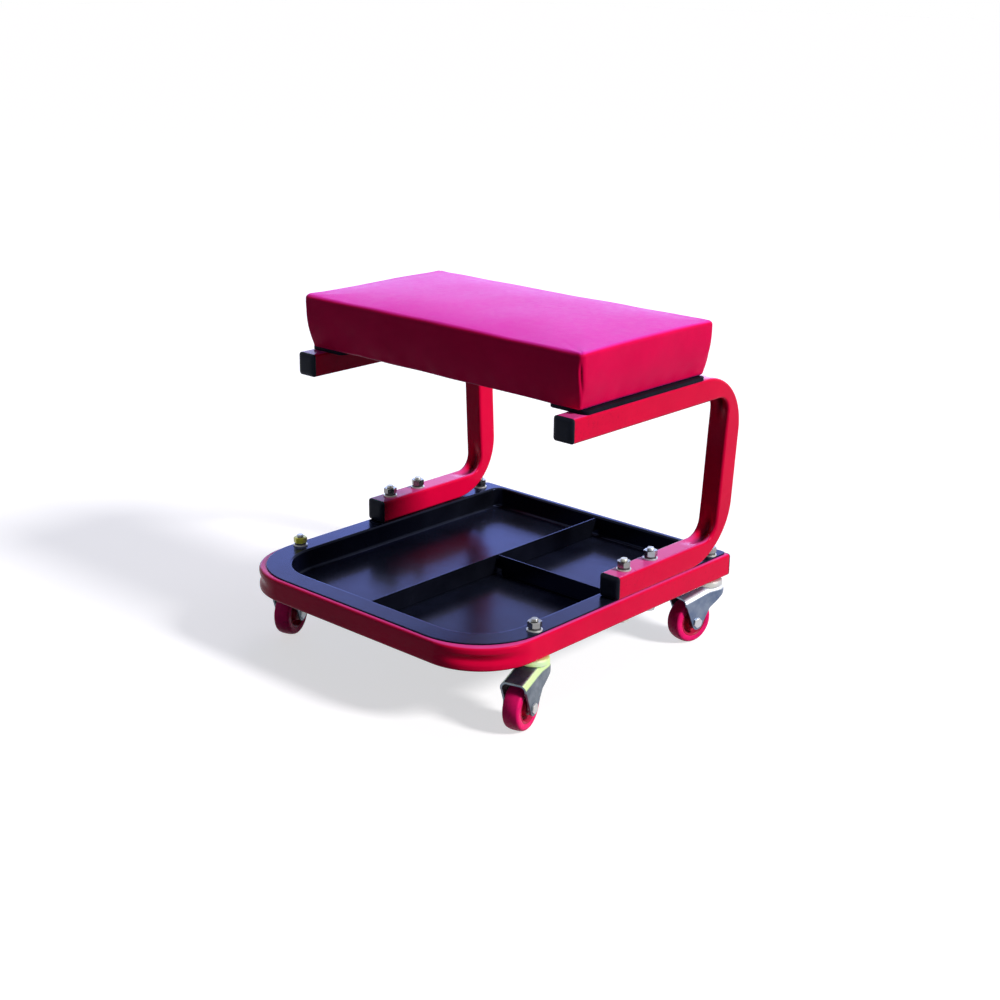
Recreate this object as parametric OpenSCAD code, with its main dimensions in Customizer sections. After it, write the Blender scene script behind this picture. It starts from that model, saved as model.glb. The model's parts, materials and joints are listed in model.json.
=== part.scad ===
// Rolling work seat. A bent square tube on four swivel casters carries a divided tool tray,
// two C-shaped legs and a padded seat. The origin is on the floor below the middle of the base,
// +X points to the right seen from the front, and +Y to the back.

/* [Base frame] */
// Outside width of the bent base tube
base_w = 370; // [350:5:400]
// Length of the base tube from its front wall to its open rear ends
base_d = 399; // [390:1:430]
// Outside size of the square tube of the base and the legs
tube = 25; // [24:0.5:27]
// Wall of the square tube
tube_wall = 1.5; // [1:0.1:2]
// Corner radius of the square tube
tube_corner = 3; // [2.5:0.25:4]
// Radius of the outer wall at the two bends of the base
base_bend_r = 70; // [66:1:80]
// Thickness that a squeezed tube keeps in the middle of a bend
squeezed_t = 16; // [15:0.5:19]
// Depth of the crease that bending leaves in the outer wall
crease_depth = 3.2; // [1:0.2:4]
// Width of that crease
crease_w = 14; // [9:1:16]
// Depth of the scoop that bending leaves in the inner wall
scoop_depth = 5; // [2:0.5:5]

/* [Tool tray] */
// Sheet thickness of the tray and its dividers
sheet_t = 1.5; // [0.8:0.1:1.6]
// Depth of the tray from the top of its rim to its floor
tray_depth = 24; // [20:1:25]
// Strip of base tube left bare outside the tray's rim
rim_inset = 4; // [3:0.5:6]
// Width of the tray's narrow rear rim
rear_rim = 5; // [4:0.5:8]
// Corner radius of the rim at the front
rim_front_r = 76; // [68:1:78]
// Corner radius of the pan at the front
pan_front_r = 58; // [50:1:62]
// Corner radius of the pan at the back
pan_rear_r = 12; // [9:1:20]
// Corner radius of the rim at the back
rim_rear_r = 6; // [3:1:8]
// Inner radius between the pan's walls and its floor
floor_r = 4; // [2:0.5:6]
// Inner radius between the pan's walls and its rim
rim_r = 1.2; // [0.6:0.1:1.2]
// Drop of the dividers' top edge below the rim
divider_drop = 2; // [1:0.5:6]
// Width of the welded foot and end tabs of a divider
divider_tab = 12; // [8:1:16]
// Place of the cross divider behind the middle of the base
cross_y = 20.5; // [0:0.5:60]

/* [Legs] */
// Height of a C-shaped leg from its foot to the top of its arm
leg_h = 212; // [190:1:250]
// Length of a leg's foot along the base
foot_l = 190; // [180:1:215]
// Length of the arm that carries the seat
arm_l = 281; // [270:1:285]
// Distance from the legs' rear face to the rear end of the base
leg_setback = 5.5; // [3:0.5:12]
// Radius of the outer wall at the bends of a leg
leg_bend_r = 66; // [62:1:72]
// Outward lean of a leg from its foot to its arm
leg_lean = 9.5; // [0:0.5:11]

/* [Seat] */
// Length of the seat from side to side
seat_w = 391; // [385:1:420]
// Depth of the seat from front to back
seat_d = 211; // [205:1:240]
// Thickness of the seat at its edges
seat_t = 58; // [48:1:75]
// Rise of the seat's middle over its edges
seat_crown = 6; // [2:0.5:10]
// Draw-in of the seat's sides towards the board
seat_taper = 6; // [2:0.5:8]
// Pull-in of the seat's sides between their corners
seat_pull = 1.5; // [0:0.25:3]
// Radius of the upper edge of the cover
seat_edge_r = 4.5; // [3.5:0.5:12]
// Radius of the lower edge of the cover
seat_roll_r = 4; // [3:0.5:9]
// Corner radius of the seat seen from above
seat_corner_r = 6; // [5:1:24]
// Thickness of the cover
cover_t = 1; // [0.6:0.1:1.5]
// Width of the cover turned in under the board
cover_lip = 26; // [22:1:40]
// Thickness of the seat board
board_t = 12; // [9:0.5:18]
// Place of the seat's middle behind the front ends of the arms
seat_y = 113; // [100:1:140]
// Thickness of the plates between arms and seat
plate_t = 4; // [3:0.5:6]
// Width of a seat plate, from the outside of its arm inwards
plate_w = 48; // [44:1:60]
// Length of a seat plate
plate_l = 193; // [160:1:200]

/* [Casters] */
// Height from the floor to the underside of the base tube
caster_h = 68; // [67:0.5:76]
// Wheel diameter
wheel_d = 50; // [46:0.5:51]
// Wheel width
wheel_w = 18; // [16:0.5:20]
// Distance of the axle behind the swivel axis
trail = 26; // [22:0.5:28]
// Distance of the front swivel axes from the front of the base
caster_front = 86; // [84:1:110]
// Distance of the rear swivel axes from the rear end of the base
caster_rear = 21; // [18:0.5:24]
// Steel sheet of the forks
fork_t = 2.2; // [1.8:0.1:2.6]
// Width of the upper race
race_d = 32; // [31:0.5:36]
// Diameter of the bearing balls
ball_d = 4; // [3.5:0.1:4.2]
// Number of balls in a race
ball_count = 12; // [8:1:13]
// Yaw of the front left fork from straight forward
yaw_fl = 21; // [-180:1:180]
// Yaw of the front right fork from straight forward
yaw_fr = 14; // [-180:1:180]
// Yaw of the rear left fork from straight forward
yaw_rl = -14; // [-180:1:180]
// Yaw of the rear right fork from straight forward
yaw_rr = -12; // [-180:1:180]

/* [Fasteners] */
// Diameter of the bolts and caster stems
bolt_d = 8; // [7:0.5:8.5]
// Distance across the flats of their nuts and heads
bolt_af = 13; // [12:0.5:14]
// Diameter of the axle bolts
axle_d = 6; // [5:0.5:7]
// Distance across the flats of the axle bolts' heads and nuts
axle_af = 10; // [9:0.5:11]
// Place of the front leg bolts behind the front ends of the feet
leg_bolt_y = 21; // [15:1:30]
// Spacing of the two bolts of a leg
leg_bolt_gap = 45; // [30:0.5:50]
// Diameter of the countersunk bolts that hold the seat plates
plate_bolt_d = 6; // [5:0.5:6]
// Distance across the flats of their nuts, which lie inside the arms
plate_bolt_af = 10; // [9:0.5:11]
// Width of the holes in the undersides of the arms that give access to those nuts
access_d = 15; // [14:0.5:17]
// Spacing of the two bolts of a seat plate
plate_bolt_gap = 130; // [90:1:150]
// Diameter of the screws that hold the seat board
screw_d = 4.5; // [3.5:0.5:5]
// Spacing of the two screws of a seat plate
screw_gap = 100; // [80:1:140]

/* [Clearances] */
// Radial clearance of the wheels and forks on their shafts
run_gap = 0.05; // [0.02:0.01:0.1]
// Radial clearance of bolts in their holes
hole_gap = 0.25; // [0.1:0.05:0.5]
// Gap around pieces that slide into one another
slip_gap = 0.3; // [0.1:0.05:0.5]
// Gap between the tray's pan and the base tube
pan_gap = 2.5; // [1:0.25:3]
// Gap beside a wheel in its fork
side_gap = 1.2; // [0.8:0.1:2]

/* [Hidden] */
$fn = 48;

// One overrun serves all cuts, and one overlap joins unions
cut = 2 * sheet_t;
join = sheet_t / 4;

// Levels above the floor
base_z0 = caster_h;
base_z1 = base_z0 + tube;
base_zc = base_z0 + tube / 2;
rim_z1 = base_z1 + sheet_t;
foot_z1 = rim_z1 + tube;
arm_z1 = rim_z1 + leg_h;
arm_z0 = arm_z1 - tube;
seat_z0 = arm_z1 + plate_t;
board_z0 = seat_z0 + cover_t;
board_z1 = board_z0 + board_t;
seat_z1 = seat_z0 + seat_t;

// Places seen from above
base_y0 = -base_d / 2;
base_y1 = base_d / 2;
side_x = base_w / 2 - tube / 2;
leg_y1 = base_y1 - leg_setback;
foot_y0 = leg_y1 - foot_l;
arm_y0 = leg_y1 - arm_l;
arm_x = side_x + leg_lean;
caster_y0 = base_y0 + caster_front;
caster_y1 = base_y1 - caster_rear;
seat_yc = arm_y0 + seat_y;
leg_bolt_ys = [foot_y0 + leg_bolt_y, foot_y0 + leg_bolt_y + leg_bolt_gap];
plate_bolt_ys = [seat_yc - plate_bolt_gap / 2, seat_yc + plate_bolt_gap / 2];
screw_ys = [seat_yc - screw_gap / 2, seat_yc + screw_gap / 2];
sides = [-1, 1];

// Bent square tube. Bending squeezes the tube: its outer wall keeps its arc and gets a crease,
// and its inner wall is pressed outwards into a scoop.
bend_steps = 9;
corner_steps = 3;
dip_steps = 3;
bore_corner = max(tube_corner - tube_wall, tube_wall / 4);
scoop_w = tube - 2 * tube_corner;
diagonal = sqrt(2);
dip_shares = [for (i = [-dip_steps:dip_steps]) i / dip_steps];

// Radius left on the inner wall so that the middle of the bend keeps its squeezed thickness
function crush_r(r) = r - (diagonal * tube - squeezed_t) / (diagonal - 1);

// Distance of the inner wall from the bend's centre at an angle
function inner_reach(r, a) =
    let (
        i = r - tube,
        m = i - crush_r(r),
        b = min(a, 90 - a)
    )
    i * tan(b) <= m ? i / cos(b) : m * (cos(b) + sin(b)) + sqrt(pow(crush_r(r), 2) - pow(m * (cos(b) - sin(b)), 2));

function dip(share) = pow(cos(90 * share), 2);

function corner_arc(n, s, r, a0, a1) = [
    for (i = [0:corner_steps])
        let (a = a0 + (a1 - a0) * i / corner_steps)
        [n + r * cos(a), s + r * sin(a)]
];

// Outline of the tube: depth below the outer wall, and place across the tube
function tube_section(w, bent, inset) =
    let (
        h = tube / 2 - inset,
        r = inset > 0 ? bore_corner : tube_corner,
        far = w - inset
    )
    concat(
        [for (k = dip_shares) [inset + bent * crease_depth * dip(k), k * crease_w / 2]],
        corner_arc(inset + r, h - r, r, 180, 90),
        corner_arc(far - r, h - r, r, 90, 0),
        [for (k = dip_shares) [far - bent * scoop_depth * dip(k), -k * scoop_w / 2]],
        corner_arc(far - r, r - h, r, 0, -90),
        corner_arc(inset + r, r - h, r, -90, -180)
    );

// A station of a sweep: point on the outer wall, outward direction, thickness, share of bending
function straight_station(p, out) = [p, out, tube, 0];
function bend_stations(c, r, a0) = [
    for (i = [0:bend_steps])
        let (
            b = 90 * i / bend_steps,
            out = [cos(a0 + b), sin(a0 + b)]
        )
        [c + r * out, out, r - inner_reach(r, b), pow(sin(2 * b), 2)]
];

function station_ring(st, inset) = [for (p = tube_section(st[2], st[3], inset)) [st[0] - p[0] * st[1], p[1]]];

function strip(a, b, n) = [
    for (i = [0:n - 1])
        let (j = (i + 1) % n)
        each [[a + i, a + j, b + j], [a + i, b + j, b + i]]
];

// Rings of the outside and of the bore, already placed in space, become one hollow solid
module ring_tube(outer, bore) {
    n = len(outer[0]);
    m = len(outer);
    pts = [for (r = concat(outer, bore)) each r];
    skin = [for (k = [0:m - 2]) each strip(k * n, (k + 1) * n, n)];
    inside = [for (k = [0:m - 2]) each strip((m + k + 1) * n, (m + k) * n, n)];
    ends = concat(strip(m * n, 0, n), strip((m - 1) * n, (2 * m - 1) * n, n));
    polyhedron(points = pts, faces = concat(skin, inside, ends), convexity = 6);
}

// Base frame

function base_stations() = concat(
    [straight_station([-base_w / 2, base_y1], [-1, 0])],
    bend_stations([base_bend_r - base_w / 2, base_y0 + base_bend_r], base_bend_r, 180),
    bend_stations([base_w / 2 - base_bend_r, base_y0 + base_bend_r], base_bend_r, 270),
    [straight_station([base_w / 2, base_y1], [1, 0])]
);

function base_ring(st, inset) = [for (p = station_ring(st, inset)) [p[0][0], p[0][1], base_zc + p[1]]];

module bolt_hole(x, y, z0, h, d = bolt_d) {
    translate([x, y, z0 - cut]) cylinder(d = d + 2 * hole_gap, h = h + 2 * cut);
}

module rim_holes(z0, h) {
    for (s = sides) {
        for (y = concat([caster_y0, caster_y1], leg_bolt_ys)) bolt_hole(s * side_x, y, z0, h);
    }
}

module base_frame() {
    color("crimson") difference() {
        ring_tube([for (st = base_stations()) base_ring(st, 0)], [for (st = base_stations()) base_ring(st, tube_wall)]);
        rim_holes(base_z0, tube);
    }
}

// End caps close every open tube end

cap_t = tube * 0.16;
cap_plug_l = tube / 2;
cap_shares = [[0, 0.35], [0.12, 0.75], [0.3, 1]];
cap_plug = tube - 2 * tube_wall - 2 * slip_gap;
cap_bore = cap_plug - 4 * tube_wall;

module rounded_square(w, d, r) {
    translate([-w / 2 + r, -d / 2]) square([w - 2 * r, d]);
    translate([-w / 2, -d / 2 + r]) square([w, d - 2 * r]);
    for (x = [-w / 2 + r, w / 2 - r]) {
        for (y = [-d / 2 + r, d / 2 - r]) translate([x, y]) circle(r = r);
    }
}

// The cap's domed head lies on the plane z = 0 and its plug points down. Each pair of shares is
// how far the head is drawn in, and how high it has risen there.
module end_cap() {
    hull() {
        for (k = cap_shares) {
            w = tube * (1 - k[0]);
            linear_extrude(cap_t * k[1]) rounded_square(w, w, tube_corner, $fn = 24);
        }
    }
    difference() {
        translate([0, 0, -cap_plug_l]) linear_extrude(cap_plug_l + join) {
            rounded_square(cap_plug, cap_plug, bore_corner);
        }
        translate([0, 0, -cap_plug_l - cut]) linear_extrude(cap_plug_l + cut) {
            rounded_square(cap_bore, cap_bore, bore_corner / 2);
        }
    }
}

module base_end_caps() {
    color([0.08, 0.08, 0.09]) {
        for (s = sides) translate([s * side_x, base_y1, base_zc]) rotate([-90, 0, 0]) end_cap();
    }
}

module front_caps(x, y, z) {
    for (s = sides) translate([s * x, y, z]) rotate([90, 0, 0]) end_cap();
}

module foot_end_caps() {
    color([0.08, 0.08, 0.09]) front_caps(side_x, foot_y0, rim_z1 + tube / 2);
}

module arm_end_caps() {
    color([0.08, 0.08, 0.09]) front_caps(arm_x, arm_y0, arm_z1 - tube / 2);
}

// Tool tray

rim_x = base_w / 2 - rim_inset;
rim_y0 = base_y0 + rim_inset;
pan_x = base_w / 2 - tube - pan_gap;
pan_y0 = base_y0 + tube + pan_gap;
pan_y1 = base_y1 - rear_rim;
floor_z1 = rim_z1 - tray_depth;
floor_z0 = floor_z1 - sheet_t;
divider_z1 = rim_z1 - divider_drop;

// Outline from x = -w to w and y0 to y1 with its own radius at the front and at the back
module tray_outline(w, y0, y1, rf, rb) {
    translate([-w + rf, y0]) square([2 * (w - rf), y1 - y0 - rb]);
    translate([-w, y0 + rf]) square([2 * w, y1 - y0 - rf - rb]);
    translate([-w + rb, y0 + rf]) square([2 * (w - rb), y1 - y0 - rf]);
    for (s = sides) {
        translate([s * (w - rf), y0 + rf]) circle(r = rf, $fn = 96);
        translate([s * (w - rb), y1 - rb]) circle(r = rb);
    }
}

// Upright section of the pan from its middle out to w. It is rounded by bottom_r where wall and
// floor meet, flares by top_r where the wall turns into the rim, and overruns that level.
module pan_section(w, z0, z1, bottom_r, top_r, over) {
    translate([0, z0]) square([w - bottom_r, z1 - z0 + over]);
    translate([0, z0 + bottom_r]) square([w, z1 - z0 - bottom_r + over]);
    translate([w - bottom_r, z0 + bottom_r]) circle(r = bottom_r);
    difference() {
        translate([w - join, z1 - top_r]) square([top_r + join, top_r + over]);
        translate([w + top_r, z1 - top_r]) circle(r = top_r);
    }
}

module pan_corner(x, y, r, turn, z0, z1, bottom_r, top_r, over) {
    translate([x, y, 0]) rotate([0, 0, turn]) rotate_extrude(angle = 90) {
        pan_section(r, z0, z1, bottom_r, top_r, over);
    }
}

// Solid form of the pan between two levels: straight sections, and turned ones at the corners
module pan_form(inset, z0, z1, bottom_r, top_r, over) {
    w = pan_x - inset;
    rf = pan_front_r - inset;
    rb = pan_rear_r - inset;
    front = pan_y0 + inset + rf;
    back = pan_y1 - inset - rb;
    translate([0, back, 0]) rotate([90, 0, 0]) linear_extrude(back - front) {
        pan_section(w, z0, z1, bottom_r, top_r, over);
        mirror([1, 0]) pan_section(w, z0, z1, bottom_r, top_r, over);
    }
    translate([rf - w, front, 0]) rotate([90, 0, 90]) linear_extrude(2 * (w - rf)) {
        mirror([1, 0]) pan_section(rf, z0, z1, bottom_r, top_r, over);
    }
    translate([rb - w, back, 0]) rotate([90, 0, 90]) linear_extrude(2 * (w - rb)) {
        pan_section(rb, z0, z1, bottom_r, top_r, over);
    }
    pan_corner(w - rf, front, rf, 270, z0, z1, bottom_r, top_r, over);
    pan_corner(rf - w, front, rf, 180, z0, z1, bottom_r, top_r, over);
    pan_corner(w - rb, back, rb, 0, z0, z1, bottom_r, top_r, over);
    pan_corner(rb - w, back, rb, 90, z0, z1, bottom_r, top_r, over);
}

module tool_tray() {
    color([0.1, 0.11, 0.14]) difference() {
        union() {
            translate([0, 0, base_z1]) linear_extrude(sheet_t) {
                tray_outline(rim_x, rim_y0, base_y1, rim_front_r, rim_rear_r);
            }
            pan_form(0, floor_z0, base_z1, floor_r + sheet_t, rim_r, join);
        }
        pan_form(sheet_t, floor_z1, rim_z1, floor_r, rim_r + sheet_t, cut);
        rim_holes(base_z1, sheet_t);
    }
}

// A divider is a bent sheet: an upright web, a foot along the floor and a tab at each end.
// It runs along +X from the origin, and its foot and tabs turn towards +Y. The web's lower corners
// are cut off to clear the radius between the pan's wall and floor.
module divider_sheet(l, h) {
    translate([0, sheet_t, 0]) rotate([90, 0, 0]) linear_extrude(sheet_t) {
        polygon([[floor_r, 0], [l - floor_r, 0], [l, floor_r], [l, h], [0, h], [0, floor_r]]);
    }
    translate([divider_tab, 0, 0]) cube([l - 2 * divider_tab, divider_tab, sheet_t]);
    for (x = [0, l - sheet_t]) {
        translate([x, 0, floor_r]) cube([sheet_t, divider_tab, h - floor_r - 2 * sheet_t]);
    }
}

long_y0 = pan_y0 + sheet_t;
long_l = pan_y1 - pan_y0 - 2 * sheet_t;
cross_l = pan_x - sheet_t - sheet_t / 2;

module long_divider() {
    color([0.1, 0.11, 0.14]) translate([sheet_t / 2, long_y0, floor_z1]) {
        rotate([0, 0, 90]) divider_sheet(long_l, divider_z1 - floor_z1);
    }
}

module cross_divider() {
    color([0.1, 0.11, 0.14]) translate([sheet_t / 2, cross_y, floor_z1]) {
        divider_sheet(cross_l, divider_z1 - floor_z1);
    }
}

// Legs

function leg_stations() = concat(
    [straight_station([foot_y0, rim_z1], [0, -1])],
    bend_stations([leg_y1 - leg_bend_r, rim_z1 + leg_bend_r], leg_bend_r, 270),
    bend_stations([leg_y1 - leg_bend_r, arm_z1 - leg_bend_r], leg_bend_r, 0),
    [straight_station([arm_y0, arm_z1], [0, 1])]
);

// Sideways place of a ring: the leg leans outwards between the axes of foot and arm
function lean_at(st) =
    let (z = (st[0] - st[2] / 2 * st[1])[1])
    side_x + leg_lean * (z - rim_z1 - tube / 2) / (leg_h - tube);

function leg_ring(st, inset) = [for (p = station_ring(st, inset)) [lean_at(st) + p[1], p[0][0], p[0][1]]];

// The right leg; the left one is its mirror image
module leg() {
    color("crimson") difference() {
        ring_tube([for (st = leg_stations()) leg_ring(st, 0)], [for (st = leg_stations()) leg_ring(st, tube_wall)]);
        for (y = leg_bolt_ys) bolt_hole(side_x, y, rim_z1, tube);
        for (y = plate_bolt_ys) {
            bolt_hole(arm_x, y, arm_z1 - tube_wall, tube_wall, plate_bolt_d);
            bolt_hole(arm_x, y, arm_z0, tube_wall, access_d);
        }
    }
}

module left_leg() {
    mirror([1, 0, 0]) leg();
}

module right_leg() {
    leg();
}

// Fasteners

washer_t = bolt_d / 5;
spring_washer_t = bolt_d / 4;
nut_h = bolt_d * 0.8;
head_h = bolt_d * 0.66;
washer_d = 2 * bolt_d;
spring_washer_d = bolt_d * 1.6;
bolt_end = bolt_d / 3;
nut_stack = washer_t + spring_washer_t + nut_h;
hex_corner = 1 / cos(30);

// A hexagon with its corners chamfered at one or both faces
module hex_body(af, h, both) {
    c = (hex_corner - 1) * af / 2;
    r = af / 2 * hex_corner;
    intersection() {
        cylinder(r = r, h = h, $fn = 6);
        rotate_extrude() polygon(concat(
            [[0, 0], [both ? r - c : r, 0], [r, both ? c : 0]],
            [[r, h - c], [r - c, h], [0, h]]
        ));
    }
}

module hex_nut(af, h, bore) {
    difference() {
        hex_body(af, h, true);
        translate([0, 0, -cut]) cylinder(d = bore, h = h + 2 * cut);
    }
}

module washer(d, bore, t) {
    difference() {
        cylinder(d = d, h = t);
        translate([0, 0, -cut]) cylinder(d = bore, h = t + 2 * cut);
    }
}

// A spring washer is a ring with a slanted slit
module spring_washer(d, bore, t) {
    difference() {
        washer(d, bore, t);
        translate([d / 4, 0, t / 2]) rotate([30, 0, 0]) cube([d, t / 2, 3 * t], center = true);
    }
}

// A bolt whose head lies below the plane z = 0 and whose shank rises from it
module bolt(d, af, head, l) {
    mirror([0, 0, 1]) hex_body(af, head, false);
    cylinder(d = d, h = l - d / 8);
    translate([0, 0, l - d / 8]) cylinder(d1 = d, d2 = d * 3 / 4, h = d / 8);
}

module at_leg_bolts(z) {
    for (s = sides) {
        for (y = leg_bolt_ys) translate([s * side_x, y, z]) children();
    }
}

module at_plate_bolts(z) {
    for (s = sides) {
        for (y = plate_bolt_ys) translate([s * arm_x, y, z]) children();
    }
}

module at_screws(z) {
    for (s = sides) {
        for (y = screw_ys) translate([s * screw_x, y, z]) children();
    }
}

module at_stems(z) {
    for (s = sides) {
        for (y = [caster_y0, caster_y1]) translate([s * side_x, y, z]) children();
    }
}

module leg_bolts() {
    color("silver") at_leg_bolts(base_z0) bolt(bolt_d, bolt_af, head_h, 2 * tube + sheet_t + nut_stack + bolt_end);
}

module leg_washers() {
    color("silver") at_leg_bolts(foot_z1) washer(washer_d, bolt_d + hole_gap, washer_t);
}

module leg_spring_washers() {
    color("silver") at_leg_bolts(foot_z1 + washer_t) spring_washer(spring_washer_d, bolt_d + hole_gap, spring_washer_t);
}

module leg_nuts() {
    color("silver") at_leg_bolts(foot_z1 + washer_t + spring_washer_t) hex_nut(bolt_af, nut_h, bolt_d + hole_gap);
}

module stem_washers() {
    color("silver") at_stems(rim_z1) washer(washer_d, bolt_d + hole_gap, washer_t);
}

module stem_spring_washers() {
    color("silver") at_stems(rim_z1 + washer_t) spring_washer(spring_washer_d, bolt_d + hole_gap, spring_washer_t);
}

module stem_nuts() {
    color("silver") at_stems(rim_z1 + washer_t + spring_washer_t) hex_nut(bolt_af, nut_h, bolt_d + hole_gap);
}

// Seat

plate_corner_r = plate_w / 8;
board_inset = seat_taper + seat_roll_r + seat_pull;
board_x = seat_w / 2 - board_inset - cover_t - slip_gap;
lip_x = seat_w / 2 - cover_lip - seat_pull - slip_gap;
screw_head_d = 2 * screw_d;
screw_strip = plate_w - tube;
plate_x1 = arm_x + tube / 2;
plate_x0 = min(plate_x1 - plate_w, lip_x - screw_head_d / 2 - screw_strip / 2);
screw_x = plate_x0 + screw_strip / 2;
board_corner_r = seat_corner_r / 2;
sink_d = 2 * plate_bolt_d;
plate_nut_h = plate_bolt_d * 0.8;
plate_washer_t = plate_bolt_d / 4;
plate_bolt_z1 = seat_z0 - hole_gap;
plate_grip_z0 = arm_z1 - tube_wall;
screw_head_h = screw_d * 0.6;
screw_grip = board_t * 3 / 4;

// A plate reaches from the outside of its arm to a strip under the board
module plate_outline(side) {
    translate([side * (plate_x0 + plate_x1) / 2, seat_yc]) {
        rounded_square(plate_x1 - plate_x0, plate_l, plate_corner_r);
    }
}

// Cone of a countersunk head, from its flat top down to the shank
module sink_cone(d1, d2) {
    h = (d2 - d1) / 2;
    translate([0, 0, -h]) cylinder(d1 = d1, d2 = d2, h = h);
}

module seat_plate(side) {
    color([0.08, 0.08, 0.09]) difference() {
        translate([0, 0, arm_z1]) linear_extrude(plate_t) plate_outline(side);
        at_plate_bolts(seat_z0) {
            sink_cone(plate_bolt_d + 2 * hole_gap, sink_d + 2 * hole_gap);
            translate([0, 0, -plate_t - cut]) cylinder(d = plate_bolt_d + 2 * hole_gap, h = plate_t + 2 * cut);
        }
        at_screws(arm_z1 - cut) cylinder(d = screw_d + 2 * hole_gap, h = plate_t + 2 * cut);
    }
}

module left_seat_plate() {
    seat_plate(-1);
}

module right_seat_plate() {
    seat_plate(1);
}

module seat_board() {
    bd = seat_d - 2 * board_inset - 2 * cover_t - 2 * slip_gap;
    color("burlywood") difference() {
        translate([0, seat_yc, board_z0]) linear_extrude(board_t) rounded_square(2 * board_x, bd, board_corner_r);
        at_screws(board_z0 - cut) cylinder(d = screw_d + 2 * run_gap, h = screw_grip + cut);
    }
}

// Bolts, washers and nuts clamp the plates to the top walls of the arms
module plate_bolts() {
    l = plate_bolt_z1 - plate_grip_z0 + plate_washer_t + plate_nut_h + plate_bolt_d / 4;
    color("silver") at_plate_bolts(plate_bolt_z1) {
        sink_cone(plate_bolt_d, sink_d);
        translate([0, 0, -l]) cylinder(d = plate_bolt_d, h = l);
    }
}

module plate_washers() {
    color("silver") at_plate_bolts(plate_grip_z0 - plate_washer_t) {
        washer(2 * plate_bolt_d, plate_bolt_d + hole_gap, plate_washer_t);
    }
}

module plate_nuts() {
    color("silver") at_plate_bolts(plate_grip_z0 - plate_washer_t - plate_nut_h) {
        hex_nut(plate_bolt_af, plate_nut_h, plate_bolt_d + hole_gap);
    }
}

// Pan-head screws that rise through the plates' inner strips into the board
module seat_screws() {
    l = plate_t + cover_t + screw_grip - screw_d;
    color("silver") at_screws(arm_z1) {
        cylinder(d = screw_d, h = l);
        translate([0, 0, l]) cylinder(d1 = screw_d, d2 = screw_d / 4, h = screw_d - run_gap);
        translate([0, 0, -screw_head_h / 2]) cylinder(d = screw_head_d, h = screw_head_h / 2);
        translate([0, 0, -screw_head_h]) cylinder(d1 = screw_head_d * 2 / 3, d2 = screw_head_d, h = screw_head_h / 2);
    }
}

module dust_cover() {
    edge = cover_lip + seat_pull + slip_gap;
    color([0.12, 0.12, 0.12]) difference() {
        translate([0, seat_yc, board_z0 - cover_t / 2]) {
            linear_extrude(cover_t / 2) rounded_square(seat_w - 2 * edge, seat_d - 2 * edge, seat_corner_r / 2);
        }
        at_screws(seat_z0) cylinder(d = screw_d + 2 * hole_gap, h = cover_t + cut);
    }
}

// The soft seat is a stack of rings. Each ring is a rounded rectangle, drawn in by an amount.
soft_corner_steps = 4;
long_side_steps = 8;
short_side_steps = 5;
crown_power = 3;
crown_shares = [0.94, 0.8, 0.6, 0.4, 0.2];

// Unit outline as pairs: corner centre signs, and direction from the corner's centre
function seat_outline(hx, hy, r) = [
    for (q = [0:3])
        let (
            sx = q == 0 || q == 3 ? 1 : -1,
            sy = q < 2 ? 1 : -1,
            cx = sx * (hx - r),
            cy = sy * (hy - r),
            long = q % 2 == 0,
            next = long ? [-cx, cy] : [cx, -cy],
            steps = long ? long_side_steps : short_side_steps,
            edge = long ? [0, sy * r] : [sx * r, 0]
        )
        each concat(
            [for (i = [0:soft_corner_steps])
                let (a = 90 * q + 90 * i / soft_corner_steps)
                [cx + r * cos(a), cy + r * sin(a)]],
            [for (i = [1:steps - 1]) [cx, cy] * (1 - i / steps) + next * i / steps + edge]
        )
];

// Sides pull in between the corners
function pulled(p, hx, hy) = [
    p[0] - sign(p[0]) * seat_pull * pow(abs(p[0]) / hx, 8) * (1 - pow(p[1] / hy, 2)),
    p[1] - sign(p[1]) * seat_pull * pow(abs(p[1]) / hy, 8) * (1 - pow(p[0] / hx, 2))
];

function soft_ring(inset, z, skin) =
    let (
        hx = seat_w / 2 - inset - skin,
        hy = seat_d / 2 - inset - skin,
        r = max(seat_corner_r - inset / 2 - skin, seat_corner_r / 3)
    )
    [for (p = seat_outline(hx, hy, r)) let (q = pulled(p, hx, hy)) [q[0], seat_yc + q[1], z]];

function crown_rise(x, y, hx, hy) =
    seat_crown * (1 - pow(abs(x) / hx, crown_power)) * (1 - pow(abs(y) / hy, crown_power));

// Ring on the crowned top, at a share of the way from the middle to the edge
function top_ring(share, skin) =
    let (
        hx = seat_w / 2 - seat_edge_r - skin,
        hy = seat_d / 2 - seat_edge_r - skin,
        edge = soft_ring(seat_edge_r, 0, skin)
    )
    [for (p = edge)
        let (
            x = p[0] * share,
            y = (p[1] - seat_yc) * share
        )
        [x, seat_yc + y, seat_z1 - skin + crown_rise(x, y, hx, hy)]];

function edge_rings(skin) = [
    soft_ring(0, seat_z1 - seat_edge_r, skin),
    soft_ring(seat_edge_r * (1 - cos(45)), seat_z1 - seat_edge_r * (1 - sin(45)) - skin / 2, skin),
    soft_ring(seat_edge_r, seat_z1 - skin, skin)
];

function wall_ring(z, skin) =
    let (share = (seat_z1 - seat_edge_r - z) / (seat_t - seat_edge_r))
    soft_ring(seat_taper * pow(share, 2), z, skin);

function cover_rings(skin) = concat(
    [
        soft_ring(cover_lip - skin, seat_z0 + skin, skin),
        soft_ring(seat_taper + seat_roll_r, seat_z0 + skin, skin),
        soft_ring(seat_taper + seat_roll_r * (1 - cos(45)), seat_z0 + seat_roll_r * (1 - sin(45)) + skin / 2, skin),
        wall_ring(seat_z0 + seat_roll_r, skin),
        wall_ring(seat_z0 + seat_t / 2, skin)
    ],
    edge_rings(skin),
    [for (k = crown_shares) top_ring(k, skin)]
);

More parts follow.
